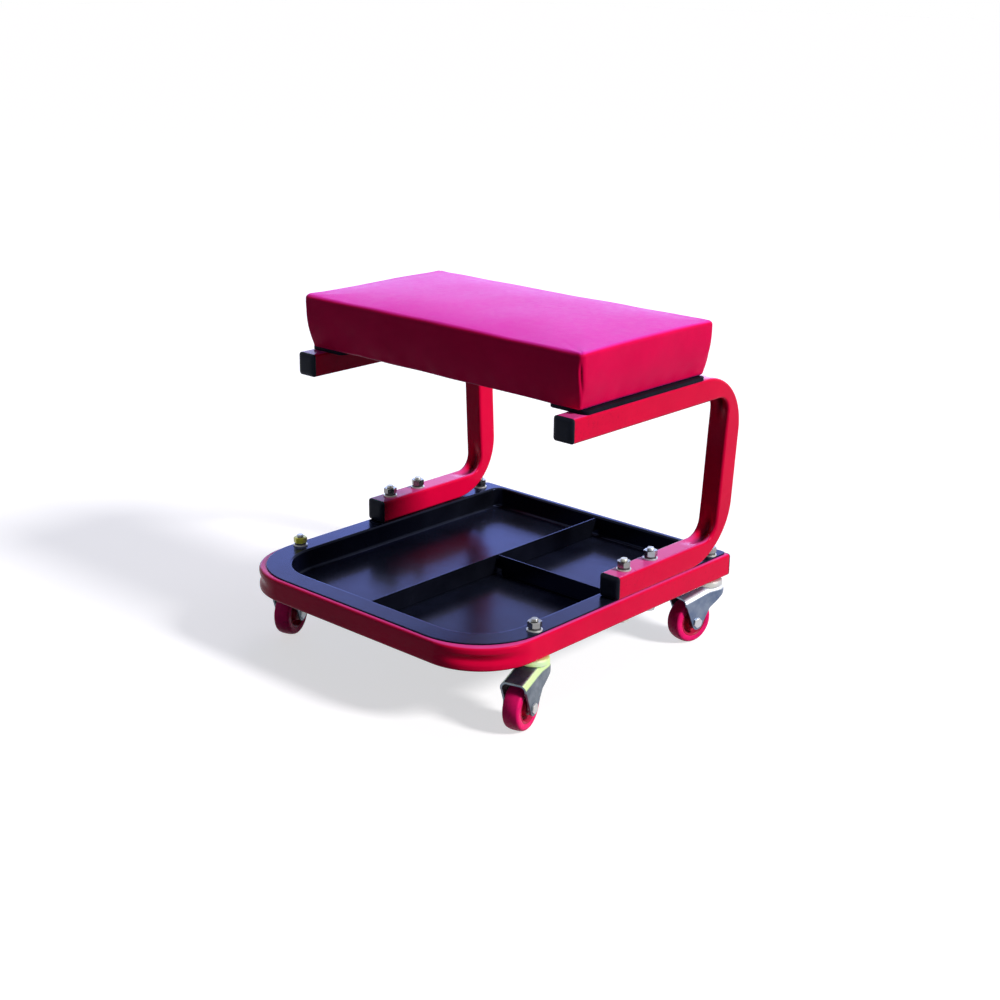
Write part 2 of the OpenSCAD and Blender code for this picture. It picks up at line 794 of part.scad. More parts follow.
function fan(ring, n, tip) = [for (i = [0:n - 1]) [ring + i, ring + (i + 1) % n, tip]];
function back_fan(ring, n, tip) = [for (i = [0:n - 1]) [ring + (i + 1) % n, ring + i, tip]];

function crown_tip(skin) = [0, seat_yc, seat_z1 - skin + seat_crown];

// Cover: an outside and an inside stack of rings that meet at the lip under the board
module cover_shell() {
    outer = cover_rings(0);
    inner = cover_rings(cover_t);
    n = len(outer[0]);
    m = len(outer);
    pts = concat([for (r = concat(outer, inner)) each r], [crown_tip(0), crown_tip(cover_t)]);
    skin = [for (k = [0:m - 2]) each strip(k * n, (k + 1) * n, n)];
    inside = [for (k = [0:m - 2]) each strip((m + k + 1) * n, (m + k) * n, n)];
    lip = strip(m * n, 0, n);
    tips = concat(fan((m - 1) * n, n, 2 * m * n), back_fan((2 * m - 1) * n, n, 2 * m * n + 1));
    polyhedron(points = pts, faces = concat(skin, inside, lip, tips), convexity = 6);
}

module seat_cover() {
    color([0.72, 0.02, 0.2]) cover_shell();
}

module seat_foam() {
    skin = cover_t + slip_gap;
    rings = concat(
        [wall_ring(board_z1, skin), wall_ring(seat_z0 + seat_t / 2, skin)],
        edge_rings(skin),
        [for (k = crown_shares) top_ring(k, skin)]
    );
    n = len(rings[0]);
    m = len(rings);
    pts = concat([for (r = rings) each r], [crown_tip(skin), [0, seat_yc, board_z1]]);
    walls = [for (k = [0:m - 2]) each strip(k * n, (k + 1) * n, n)];
    tips = concat(fan((m - 1) * n, n, m * n), back_fan(0, n, m * n + 1));
    color([0.85, 0.8, 0.6]) polyhedron(points = pts, faces = concat(walls, tips), convexity = 4);
}

// Casters. Each piece is made about its swivel axis, with the floor at z = 0 and the wheel at -Y.

race_t = ball_d;
race_z0 = caster_h - race_t;
groove_r = ball_d / 2 + run_gap;
ball_z = race_z0 - ball_d / 8;
ball_ring_r = race_d / 2 - ball_d * 1.35;
race_skirt_t = ball_d / 3;
race_skirt_z0 = race_z0 - ball_d / 2;
lower_race_z1 = ball_z - ball_d / 8;
lower_race_d = race_d - 2 * race_skirt_t - 4 * slip_gap;
lower_race_t = ball_d * 0.7;
crown_z1 = lower_race_z1 - lower_race_t;
crown_z0 = crown_z1 - fork_t;
kingpin_d = bolt_d * 5 / 4;
rivet_d = bolt_d * 2;
rivet_t = bolt_d / 4;
wheel_r = wheel_d / 2;
fork_in = wheel_w + 2 * side_gap;
fork_out = fork_in + 2 * fork_t;
fold_r = fork_t * 2;
fork_nose = trail + wheel_d * 0.34;
fork_heel = race_d * 0.36;
nose_z1 = wheel_d + fork_t + 2 * side_gap - fork_t / 2;
cheek_tip_r = axle_d * 1.25;
cheek_heel_z = wheel_d * 0.93;
axle_washer_gap = slip_gap / 3;

module stem() {
    color("silver") {
        rotate_extrude() polygon([
            [0, crown_z0 - rivet_t],
            [rivet_d / 2 - rivet_t / 2, crown_z0 - rivet_t],
            [rivet_d / 2, crown_z0 - rivet_t / 2 - run_gap],
            [rivet_d / 2, crown_z0 - 2 * run_gap],
            [kingpin_d / 2, crown_z0 - 2 * run_gap],
            [kingpin_d / 2, race_z0 + join],
            [bolt_d / 2, race_z0 + join],
            [bolt_d / 2, rim_z1 + nut_stack + bolt_end - bolt_d / 8],
            [bolt_d / 2 - bolt_d / 8, rim_z1 + nut_stack + bolt_end],
            [0, rim_z1 + nut_stack + bolt_end]
        ]);
        difference() {
            rotate_extrude() polygon([
                [0, race_z0],
                [race_d / 2 - race_skirt_t, race_z0],
                [race_d / 2 - race_skirt_t, race_skirt_z0],
                [race_d / 2, race_skirt_z0],
                [race_d / 2, caster_h - race_t / 2],
                [race_d / 2 - race_t / 2, caster_h],
                [0, caster_h]
            ]);
            ball_groove();
        }
    }
}

module ball_groove() {
    rotate_extrude() translate([ball_ring_r, ball_z]) circle(r = groove_r);
}

module balls() {
    color("silver") {
        for (i = [0:ball_count - 1]) {
            rotate([0, 0, 360 * i / ball_count]) translate([ball_ring_r, 0, ball_z]) sphere(d = ball_d);
        }
    }
}

// Side view of a cheek: distance towards the wheel, and height above the floor
module cheek_outline() {
    difference() {
        hull() {
            polygon([
                [-fork_heel, crown_z0],
                [fork_nose - fold_r, nose_z1 - fold_r],
                [fork_nose - fork_t / 2, nose_z1 - 2 * fold_r],
                [trail + cheek_tip_r, wheel_r],
                [trail - cheek_tip_r, wheel_r],
                [-fork_heel, cheek_heel_z]
            ]);
            translate([trail, wheel_r]) circle(r = cheek_tip_r, $fn = 32);
        }
        translate([-fork_heel * 1.6, wheel_r * 0.62]) circle(r = trail * 0.92, $fn = 64);
    }
}

// Crown: a flat disc around the kingpin that slopes down towards the nose, with rounded folds
module crown_shell() {
    hull() {
        translate([0, 0, crown_z0]) cylinder(d = lower_race_d, h = fork_t, $fn = 32);
        for (s = sides) {
            translate([s * (fork_out / 2 - fold_r), fork_heel, crown_z1 - fold_r]) {
                rotate([90, 0, 0]) cylinder(r = fold_r, h = fork_t, $fn = 24);
            }
            translate([s * (fork_out / 2 - fold_r), fork_t - fork_nose, nose_z1 - fold_r]) {
                rotate([90, 0, 0]) cylinder(r = fold_r, h = fork_t, $fn = 24);
            }
        }
    }
}

// Space inside the fork: the wheel's channel with a roof that follows the crown
module fork_channel() {
    translate([-fork_in / 2, 0, 0]) rotate([90, 0, 90]) linear_extrude(fork_in) polygon([
        [-fork_nose - cut, -cut],
        [-fork_nose - cut, nose_z1 - fork_t - (nose_z1 - crown_z1) * -cut / fork_nose],
        [-race_d / 4, crown_z0 - run_gap],
        [race_d, crown_z0 - run_gap],
        [race_d, -cut]
    ]);
}

module fork() {
    color("silver") difference() {
        union() {
            crown_shell();
            for (s = sides) {
                translate([s * (fork_out - fork_t) / 2 - fork_t / 2, 0, 0]) {
                    rotate([90, 0, 90]) linear_extrude(fork_t) mirror([1, 0]) cheek_outline();
                }
            }
            translate([0, 0, crown_z1 - join]) cylinder(d = lower_race_d, h = lower_race_t + join);
        }
        fork_channel();
        ball_groove();
        translate([0, 0, crown_z0 - cut]) cylinder(d = kingpin_d + 2 * run_gap, h = 2 * race_t + 2 * cut);
        translate([-fork_out, -trail, wheel_r]) {
            rotate([0, 90, 0]) cylinder(d = axle_d + 2 * hole_gap, h = 2 * fork_out);
        }
    }
}

tyre_wall = wheel_d * 0.16;
tyre_edge = wheel_w / 6;
core_r = wheel_r - tyre_wall;
core_rim_t = wheel_d * 0.06;
core_web_t = wheel_w * 0.3;
hub_r = wheel_d * 0.17;
sleeve_r = axle_d * 0.72;
sleeve_l = fork_in - 2 * axle_washer_gap;

module about_axle() {
    translate([0, -trail, wheel_r]) rotate([0, 90, 0]) children();
}

module tyre() {
    color([0.93, 0.23, 0.22]) about_axle() rotate_extrude() difference() {
        translate([core_r, -wheel_w / 2]) square([tyre_wall, wheel_w]);
        for (s = sides) {
            translate([wheel_r - tyre_edge, s * (wheel_w / 2 - tyre_edge)]) difference() {
                translate([0, s > 0 ? 0 : -2 * tyre_edge]) square([2 * tyre_edge, 2 * tyre_edge]);
                circle(r = tyre_edge);
            }
        }
    }
}

module core() {
    w = wheel_w / 2;
    color([0.88, 0.2, 0.2]) about_axle() rotate_extrude() polygon([
        [sleeve_r + run_gap, -w - side_gap / 2],
        [hub_r - hub_r / 4, -w - side_gap / 2],
        [hub_r, -core_web_t / 2],
        [core_r - core_rim_t, -core_web_t / 2],
        [core_r - core_rim_t / 2, -w],
        [core_r, -w],
        [core_r, w],
        [core_r - core_rim_t / 2, w],
        [core_r - core_rim_t, core_web_t / 2],
        [hub_r, core_web_t / 2],
        [hub_r - hub_r / 4, w + side_gap / 2],
        [sleeve_r + run_gap, w + side_gap / 2]
    ]);
}

module sleeve() {
    color("silver") about_axle() translate([0, 0, -sleeve_l / 2]) difference() {
        cylinder(r = sleeve_r, h = sleeve_l);
        translate([0, 0, -cut]) cylinder(d = axle_d + 2 * run_gap, h = sleeve_l + 2 * cut);
    }
}

axle_nut_h = axle_d * 0.8;
axle_head_h = axle_d * 0.66;

// The bolt's head lies on the right cheek, and its nut on the left one
module axle_bolt() {
    color("silver") about_axle() translate([0, 0, fork_out / 2]) mirror([0, 0, 1]) {
        bolt(axle_d, axle_af, axle_head_h, fork_out + axle_nut_h + axle_d / 4);
    }
}

module axle_nut() {
    color("silver") about_axle() translate([0, 0, -fork_out / 2 - axle_nut_h]) {
        hex_nut(axle_af, axle_nut_h, axle_d + run_gap);
    }
}

// Put a caster piece under its corner of the base and turn it to its yaw
module at_caster(sx, y, yaw) {
    translate([sx * side_x, y, 0]) rotate([0, 0, yaw]) children();
}

module at_fl() {
    at_caster(-1, caster_y0, yaw_fl) children();
}

module at_fr() {
    at_caster(1, caster_y0, yaw_fr) children();
}

module at_rl() {
    at_caster(-1, caster_y1, yaw_rl) children();
}

module at_rr() {
    at_caster(1, caster_y1, yaw_rr) children();
}

base_frame();
base_end_caps();
tool_tray();
long_divider();
cross_divider();
left_leg();
right_leg();
foot_end_caps();
arm_end_caps();
leg_bolts();
leg_washers();
leg_spring_washers();
leg_nuts();
left_seat_plate();
right_seat_plate();
seat_board();
seat_foam();
seat_cover();
dust_cover();
plate_bolts();
plate_washers();
plate_nuts();
seat_screws();
stem_washers();
stem_spring_washers();
stem_nuts();
at_fl() stem();  // fl_stem
at_fl() balls();  // fl_balls
at_fl() fork();  // fl_fork
at_fl() tyre();  // fl_tyre
at_fl() core();  // fl_core
at_fl() sleeve();  // fl_sleeve
at_fl() axle_bolt();  // fl_axle_bolt
at_fl() axle_nut();  // fl_axle_nut
at_fr() stem();  // fr_stem
at_fr() balls();  // fr_balls
at_fr() fork();  // fr_fork
at_fr() tyre();  // fr_tyre
at_fr() core();  // fr_core
at_fr() sleeve();  // fr_sleeve
at_fr() axle_bolt();  // fr_axle_bolt
at_fr() axle_nut();  // fr_axle_nut
at_rl() stem();  // rl_stem
at_rl() balls();  // rl_balls
at_rl() fork();  // rl_fork
at_rl() tyre();  // rl_tyre
at_rl() core();  // rl_core
at_rl() sleeve();  // rl_sleeve
at_rl() axle_bolt();  // rl_axle_bolt
at_rl() axle_nut();  // rl_axle_nut
at_rr() stem();  // rr_stem
at_rr() balls();  // rr_balls
at_rr() fork();  // rr_fork
at_rr() tyre();  // rr_tyre
at_rr() core();  // rr_core
at_rr() sleeve();  // rr_sleeve
at_rr() axle_bolt();  // rr_axle_bolt
at_rr() axle_nut();  // rr_axle_nut
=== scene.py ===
import json
import math

import bpy
import numpy as np
from bpy.props import FloatProperty, FloatVectorProperty, IntProperty, PointerProperty
from mathutils import Matrix, Vector


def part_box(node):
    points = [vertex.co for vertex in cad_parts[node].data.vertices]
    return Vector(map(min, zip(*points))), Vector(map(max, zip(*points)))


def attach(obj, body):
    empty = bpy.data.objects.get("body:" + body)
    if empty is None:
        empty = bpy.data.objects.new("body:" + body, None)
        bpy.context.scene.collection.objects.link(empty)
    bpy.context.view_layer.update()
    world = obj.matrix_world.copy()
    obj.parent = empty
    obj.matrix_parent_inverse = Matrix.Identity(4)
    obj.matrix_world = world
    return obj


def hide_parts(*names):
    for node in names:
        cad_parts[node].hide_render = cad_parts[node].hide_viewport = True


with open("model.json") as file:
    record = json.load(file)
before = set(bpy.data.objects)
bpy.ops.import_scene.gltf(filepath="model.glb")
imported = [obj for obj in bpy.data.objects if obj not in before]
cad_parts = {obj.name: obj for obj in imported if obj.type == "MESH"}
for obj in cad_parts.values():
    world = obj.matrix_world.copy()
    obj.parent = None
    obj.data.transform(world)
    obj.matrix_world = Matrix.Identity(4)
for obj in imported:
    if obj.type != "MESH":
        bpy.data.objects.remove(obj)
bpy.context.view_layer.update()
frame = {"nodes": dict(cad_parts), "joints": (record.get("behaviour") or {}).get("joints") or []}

bl_info = {
    "name": "Rolling Work Seat",
    "version": (1, 0, 0),
    "blender": (4, 5, 0),
    "location": "3D View > Sidebar > Work Seat",
    "description": "Builds the looks of a rolling work seat around its packed frame",
    "category": "Object",
}

# Boxes of the CAD nodes that the pieces are fitted to
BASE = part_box("base_frame")
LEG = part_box("right_leg")
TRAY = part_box("tool_tray")
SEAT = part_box("seat_cover")
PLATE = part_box("right_seat_plate")
SEAT_HALF = ((SEAT[1].x - SEAT[0].x) / 2, (SEAT[1].y - SEAT[0].y) / 2)
SEAT_Y = (SEAT[0].y + SEAT[1].y) / 2
ROOT = "frame"
CASTERS = {"fl": "front_left", "fr": "front_right", "rl": "rear_left", "rr": "rear_right"}
SIDES = (-1, 1)
FLIP = Matrix.Rotation(math.pi, 4, "X")
FINE_PITCH = 0.001  # Pitch of the M6 threads
HARD_EDGE = 28  # Angle in degrees from which an edge of a fastener stays sharp
TINY = 1e-9


# ---- Properties ----

def length(name, text, default, low=0.0001, high=1.0):
    """Property for a size in metres."""
    return FloatProperty(name=name, description=text, default=default, min=low, max=high,
                         unit="LENGTH", subtype="DISTANCE", precision=4)


def colour(name, text, default):
    """Property for a base colour."""
    return FloatVectorProperty(name=name, description=text, default=default, size=3, min=0.0, max=1.0,
                               subtype="COLOR")


class WORKSEAT_PG_tube(bpy.types.PropertyGroup):
    size: length("Tube", "Outside size of the square tube", BASE[1].z - BASE[0].z)
    wall: length("Wall", "Wall of the square tube", 0.0015)
    corner: length("Corner", "Corner radius of the square tube", 0.003)
    base_bend: length("Base bend", "Outer radius of the two bends of the base", 0.07)
    leg_bend: length("Leg bend", "Outer radius of the bends of a leg", 0.066)
    squeezed: length("Squeezed", "Thickness left in the middle of a bend", 0.016)
    crease_depth: length("Crease depth", "Depth of the crease in the outer wall", 0.0032)
    crease_width: length("Crease width", "Width of the crease in the outer wall", 0.014)
    scoop_depth: length("Scoop depth", "Depth of the scoop in the inner wall", 0.005)
    foot: length("Foot", "Length of a leg's foot", 0.19)
    lean: length("Lean", "Outward lean of a leg from foot to arm", 0.0095)
    access: length("Access", "Diameter of the holes below the plates' nuts", 0.015)


class WORKSEAT_PG_tray(bpy.types.PropertyGroup):
    sheet: length("Sheet", "Sheet thickness of tray and dividers", 0.0015)
    gap: length("Gap", "Gap between the pan and the base tube", 0.0025)
    rim_fillet: length("Rim fillet", "Radius pressed between rim and wall", 0.0024)
    rim_front: length("Rim front", "Corner radius of the rim at the front", 0.076)
    floor_fillet: length("Floor fillet", "Radius pressed between wall and floor", 0.004)
    rear_rim: length("Rear rim", "Width of the rear rim", 0.005)
    pan_front: length("Pan front", "Corner radius of the pan at the front", 0.058)
    pan_rear: length("Pan rear", "Corner radius of the pan at the back", 0.012)
    rim_rear: length("Rim rear", "Corner radius of the rim at the back", 0.006)
    tab: length("Tab", "Width of a divider's welded foot", 0.012)


class WORKSEAT_PG_seat(bpy.types.PropertyGroup):
    crown: length("Crown", "Rise of the seat's middle", 0.006)
    taper: length("Taper", "Draw-in of the sides towards the board", 0.006)
    pull: length("Pull", "Pull-in of the sides between their corners", 0.0015)
    edge: length("Edge", "Radius of the upper edge", 0.0045)
    roll: length("Roll", "Radius of the lower edge", 0.004)
    corner: length("Corner", "Corner radius seen from above", 0.006)
    lip: length("Lip", "Width of the cover turned in below", 0.026)
    pleat: length("Pleat", "Depth of the folded corners' creases", 0.0016)
    pressure: FloatProperty(name="Pressure", description="Pressure that swells the cover", default=4.0, min=0.0)
    swell: length("Swell", "Most that a point moves when the cover swells", 0.0013)
    staples: IntProperty(name="Staples", description="Staples along a long side", default=13, min=2, max=40)


class WORKSEAT_PG_caster(bpy.types.PropertyGroup):
    sheet: length("Sheet", "Steel sheet of the forks", 0.0022)
    fold: length("Fold", "Outer radius of a fork's folds", 0.005)
    edge: length("Tyre edge", "Radius of the tyre's edges", 0.003)
    bolt: length("Bolt", "Diameter of bolts and stems", 0.008)
    pitch: length("Pitch", "Pitch of their threads", 0.00125)
    flats: length("Flats", "Size across the flats", 0.013)
    axle: length("Axle", "Diameter of the axle bolts", 0.006)
    axle_flats: length("Axle flats", "Size across the flats of the axle bolts", 0.01)


class WORKSEAT_PG_finish(bpy.types.PropertyGroup):
    frame_red: colour("Frame", "Paint of base and legs", (0.80, 0.002, 0.05))
    tray_black: colour("Tray", "Paint of tray and dividers", (0.006, 0.007, 0.012))
    cap_black: colour("Caps", "Plastic of the end caps", (0.007, 0.009, 0.016))
    vinyl: colour("Vinyl", "Cover of the seat", (0.86, 0.003, 0.08))
    tread: colour("Tread", "Rubber of the tyres", (0.96, 0.008, 0.17))
    core: colour("Core", "Wheel cores", (0.52, 0.012, 0.06))
    zinc: colour("Zinc", "Plated steel", (0.76, 0.77, 0.78))
    yellow_zinc: colour("Yellow zinc", "Yellowish bloom of the front forks", (0.70, 0.96, 0.36))
    blue_zinc: colour("Blue zinc", "Bluish bloom of the rear forks", (0.58, 0.60, 0.92))


# ---- Mesh tools ----

def quarter(steps):
    """Angles in radians from 0 to 90 degrees, both ends included."""
    return [math.radians(90 * i / steps) for i in range(steps + 1)]


def turns(steps):
    """Angles in radians round a full circle."""
    return [2 * math.pi * i / steps for i in range(steps)]


def about_z(r, a, z):
    """Point at a radius, an angle in radians and a height."""
    return Vector((r * math.cos(a), r * math.sin(a), z))


def arc(cx, cy, r, a0, a1, steps):
    """Points on an arc, in degrees, both ends included."""
    angles = [math.radians(a0 + (a1 - a0) * i / steps) for i in range(steps + 1)]
    return [(cx + r * math.cos(a), cy + r * math.sin(a)) for a in angles]


def at(x=0.0, y=0.0, z=0.0, yaw=0.0):
    """Place at a point, turned about +Z by an angle in radians."""
    return Matrix.Translation((x, y, z)) @ Matrix.Rotation(yaw, 4, "Z")


def moved(data, place):
    """Vertices and faces, moved by a matrix."""
    verts, faces = data
    return [place @ Vector(v) for v in verts], faces


def merge(parts):
    """One vertex and face list out of several."""
    verts, faces = [], []
    for v, f in parts:
        shift = len(verts)
        verts += v
        faces += [tuple(i + shift for i in face) for face in f]
    return verts, faces


def strip(a, b, n, closed=True):
    """Quads between two rings that start at vertex a and b."""
    return [(a + i, a + (i + 1) % n, b + (i + 1) % n, b + i) for i in range(n if closed else n - 1)]


def loft(rings, closed=True, first=False, last=False, around=False):
    """Vertices and faces of a skin over rings with equal counts. First and last close the ends."""
    n, m = len(rings[0]), len(rings)
    verts = [tuple(p) for ring in rings for p in ring]
    faces = [f for k in range(m - 1) for f in strip(k * n, (k + 1) * n, n, closed)]
    if around:
        faces += strip((m - 1) * n, 0, n, closed)
    if first:
        faces.append(tuple(range(n))[::-1])
    if last:
        faces.append(tuple(range((m - 1) * n, m * n)))
    return verts, faces


def turn(profile, steps=48, place=None, around=False, first=False, last=False, shape=None):
    """Turned piece: a profile of (radius, height) about +Z, moved by place."""
    rings = [[about_z(shape(r, a) if shape else r, a, z) for a in turns(steps)] for r, z in profile]
    if place is not None:
        rings = [[place @ p for p in ring] for ring in rings]
    return loft(rings, around=around, first=first, last=last)


def rounded_rect(w, d, r, z=0.0, steps=5, cx=0.0, cy=0.0):
    """Ring of a rounded rectangle centred on (cx, cy), anticlockwise from +X +Y."""
    x, y = w / 2 - r, d / 2 - r
    ring = []
    for sx, sy, a in ((1, 1, 0), (-1, 1, 90), (-1, -1, 180), (1, -1, 270)):
        ring += arc(cx + sx * x, cy + sy * y, r, a, a + 90, steps)
    return [Vector((px, py, z)) for px, py in ring]


def slab(w, d, h, r, edge, z=0.0, cx=0.0, cy=0.0, steps=6):
    """Flat plate with rounded corners and softened edges."""
    rings = [rounded_rect(w - 2 * edge, d - 2 * edge, r, z, steps, cx, cy)]
    for z0, a0, a1 in ((z + edge, -60, 0), (z + h - edge, 0, 90)):
        for i in range(4):
            a = math.radians(a0 + (a1 - a0) * i / 3)
            c = edge * (1 - math.cos(a))
            rings.append(rounded_rect(w - 2 * c, d - 2 * c, r, z0 + edge * math.sin(a), steps, cx, cy))
    return loft(rings, first=True, last=True)


def link_new(name, data):
    """A new object in the scene."""
    o = bpy.data.objects.new(name, data)
    bpy.context.scene.collection.objects.link(o)
    return o


def new_mesh(name, data):
    """A mesh of vertices and faces."""
    mesh = bpy.data.meshes.new(name)
    mesh.from_pydata([tuple(v) for v in data[0]], [], data[1])
    return mesh


def piece(name, data, material, body=ROOT, stands_for=(), angle=35):
    """A new piece of the seat: it rides on a body and may stand for CAD nodes."""
    mesh = new_mesh(name, data)
    mesh.validate()
    mesh.materials.append(material)
    mesh.polygons.foreach_set("use_smooth", [True] * len(mesh.polygons))
    mesh.set_sharp_from_angle(angle=math.radians(angle))
    o = link_new(name, mesh)
    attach(o, body)
    if stands_for:
        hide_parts(*stands_for)
    return o


def hardware(name, parts, nodes=(), look="zinc", body=ROOT):
    """A plated piece made of several parts."""
    return piece(name, merge(parts), FINISHES[look], body=body, stands_for=nodes, angle=HARD_EDGE)


def refinish(node, look):
    """Give a CAD node that stays as it is its finish."""
    materials = frame["nodes"][node].data.materials
    materials.clear()
    materials.append(FINISHES[look])


def bevel(o, width, segments, angle):
    """Soften the edges that are sharper than an angle in degrees."""
    m = o.modifiers.new("Edges", "BEVEL")
    m.width, m.segments, m.limit_method, m.angle_limit = width, segments, "ANGLE", math.radians(angle)


def thicken(o, thickness, offset=-1.0):
    """Give a sheet its thickness, by default on its inner side."""
    m = o.modifiers.new("Sheet", "SOLIDIFY")
    m.thickness, m.offset, m.use_even_offset = thickness, offset, True


def even_normals(o):
    """Let large flat faces shade flat beside small rounded ones."""
    m = o.modifiers.new("Normals", "WEIGHTED_NORMAL")
    m.keep_sharp, m.weight = True, 80


def drill(o, data, angle=60):
    """Cut the drills' shape out of a closed mesh."""
    mesh = new_mesh("Drill", data)
    tool = link_new("Drill", mesh)
    m = o.modifiers.new("Holes", "BOOLEAN")
    m.operation, m.solver, m.object = "DIFFERENCE", "FAST", tool
    graph, old = bpy.context.evaluated_depsgraph_get(), o.data
    cut = bpy.data.meshes.new_from_object(o.evaluated_get(graph))
    if len(cut.polygons) < len(old.polygons):
        raise RuntimeError("The holes of " + o.name + " could not be cut")
    o.modifiers.clear()
    o.data = cut
    cut.set_sharp_from_angle(angle=math.radians(angle))
    bpy.data.objects.remove(tool)
    for used in (mesh, old):
        bpy.data.meshes.remove(used)


# ---- Finishes ----

class Tree:
    """Nodes of a material or of the world."""

    def __init__(self, owner):
        owner.use_nodes = True
        self.nodes, self.links = owner.node_tree.nodes, owner.node_tree.links

    def feed(self, socket, value):
        """Link a socket to an output, or set its value."""
        if isinstance(value, bpy.types.NodeSocket):
            self.links.new(value, socket)
        else:
            socket.default_value = (*value, 1.0) if socket.type == "RGBA" else value

    def node(self, kind, **values):
        """New node. Each value goes to the property or the socket of its name."""
        n = self.nodes.new(kind)
        for key, value in values.items():
            if key in n.bl_rna.properties:
                setattr(n, key, value)
            else:
                self.feed(n.inputs[key.replace("_", " ")], value)
        return n

    def join(self, kind, *values, **properties):
        """Output of a node whose first sockets take the values in order."""
        n = self.node(kind, **properties)
        for key, value in enumerate(values):
            self.feed(n.inputs[key], value)
        return n.outputs[0]

    def math(self, operation, a, b):
        """Sum, product or the like of two values."""
        return self.join("ShaderNodeMath", a, b, operation=operation)


class Finish(Tree):
    """Node material around one Principled shader."""

    def __init__(self, name, **sockets):
        self.material = bpy.data.materials.new(name)
        super().__init__(self.material)
        self.shader = self.nodes["Principled BSDF"]
        self.set(**sockets)
        self.where = self.node("ShaderNodeTexCoord").outputs["Object"]

    def set(self, **sockets):
        """Set or link sockets of the shader."""
        for key, value in sockets.items():
            self.feed(self.shader.inputs[key.replace("_", " ")], value)

    def noise(self, scale, detail=2.0, rough=0.5, stretch=None, distortion=0.0):
        """Cloudy pattern in the piece's own space, on request stretched along an axis."""
        where = self.where
        if stretch:
            where = self.node("ShaderNodeMapping", Vector=where, Scale=stretch).outputs["Vector"]
        n = self.node("ShaderNodeTexNoise", Vector=where, Scale=scale, Detail=detail, Roughness=rough,
                      Distortion=distortion)
        return n.outputs["Fac"]

    def cells(self, scale, feature="F1", smooth=None):
        """Pebbled pattern in the piece's own space."""
        n = self.node("ShaderNodeTexVoronoi", feature=feature, Vector=self.where, Scale=scale)
        if smooth is not None:
            n.inputs["Smoothness"].default_value = smooth
        return n.outputs["Distance"]

    def ramp(self, fac, stops):
        """Colour ramp through stops of (position, value or colour)."""
        n = self.node("ShaderNodeValToRGB", Fac=fac)
        band = n.color_ramp
        while len(band.elements) < len(stops):
            band.elements.new(0.5)
        for element, (position, value) in zip(band.elements, stops):
            element.position = position
            element.color = (*value, 1.0) if hasattr(value, "__len__") else (value, value, value, 1.0)
        return n.outputs["Color"]

    def patches(self, low, high, scale, detail=2.0, rough=0.5, span=(0.3, 0.7), **more):
        """Noise that turns one value or colour into another over a span of its strength."""
        return self.ramp(self.noise(scale, detail, rough, **more), ((span[0], low), (span[1], high)))

    def mix(self, fac, a, b, blend="MIX"):
        """Colour a turned into or blended with b."""
        n = self.node("ShaderNodeMix", data_type="RGBA", blend_type=blend)
        for value, key in ((fac, 0), (a, 6), (b, 7)):
            self.feed(n.inputs[key], value)
        return n.outputs[2]

    def pointiness(self):
        """Below a half in hollows, above it on edges."""
        return self.node("ShaderNodeNewGeometry").outputs["Pointiness"]

    def edges(self, low, high):
        """1 on convex edges, 0 elsewhere."""
        return self.ramp(self.pointiness(), ((low, 0.0), (high, 1.0)))

    def upward(self):
        """1 on faces that look straight up, 0 on upright ones."""
        normal = self.node("ShaderNodeNewGeometry").outputs["Normal"]
        return self.node("ShaderNodeSeparateXYZ", Vector=normal).outputs["Z"]

    def facing_up(self, low=0.6, high=0.95, strength=1.0):
        """Strength on faces that look up, 0 on the others."""
        share = self.ramp(self.upward(), ((low, 0.0), (high, 1.0)))
        return share if strength == 1.0 else self.math("MULTIPLY", share, strength)

    def bumps(self, *layers):
        """Stack of (height, strength, distance) bumps."""
        last = None
        for height, strength, distance in layers:
            b = self.node("ShaderNodeBump", Height=height, Strength=strength, Distance=distance)
            if last is not None:
                self.links.new(last, b.inputs["Normal"])
            last = b.outputs["Normal"]
        self.set(Normal=last)


FINISHES = {}


def shade(c, k):
    """A colour made darker or lighter."""
    return tuple(min(1.0, x * k) for x in c)


def finish_frame(c):
    """Enamel: painted lilac sky reflection where it looks up, painted shade in hollows, rubbed dull on its edges."""
    painted_sky_reflection, rubbed = (0.9, 0.14, 0.62), (0.22, 0.004, 0.02)
    f = Finish("Crimson enamel", Roughness=0.22, Specular_IOR_Level=0.06, Specular_Tint=(1.0, 0.3, 0.8))
    tone = f.patches(shade(c, 0.88), shade(c, 1.05), 14, 4, 0.6)
    # Painted reflection: faces that look up are mixed towards lilac, as if they mirrored a bluish sky.
    tone = f.mix(f.facing_up(0.7, 0.99, 0.5), tone, painted_sky_reflection)
    worn = f.math("MULTIPLY", f.edges(0.54, 0.64), f.patches(0.0, 0.7, 260, 5, 0.7, (0.55, 0.75)))
    # Painted shade: concave places, such as the creases of the bends, are darkened as if shade fell in them.
    hollow = f.ramp(f.pointiness(), ((0.465, 0.25), (0.495, 1.0)))
    f.set(Base_Color=f.mix(1.0, f.mix(worn, tone, rubbed), hollow, "MULTIPLY"),
          Roughness=f.patches(0.15, 0.28, 90, 6, 0.65, (0.35, 0.75)))
    f.bumps((f.noise(650, 2, 0.4), 0.008, 0.0006), (f.noise(38, 3, 0.5), 0.07, 0.0012))
    return f.material


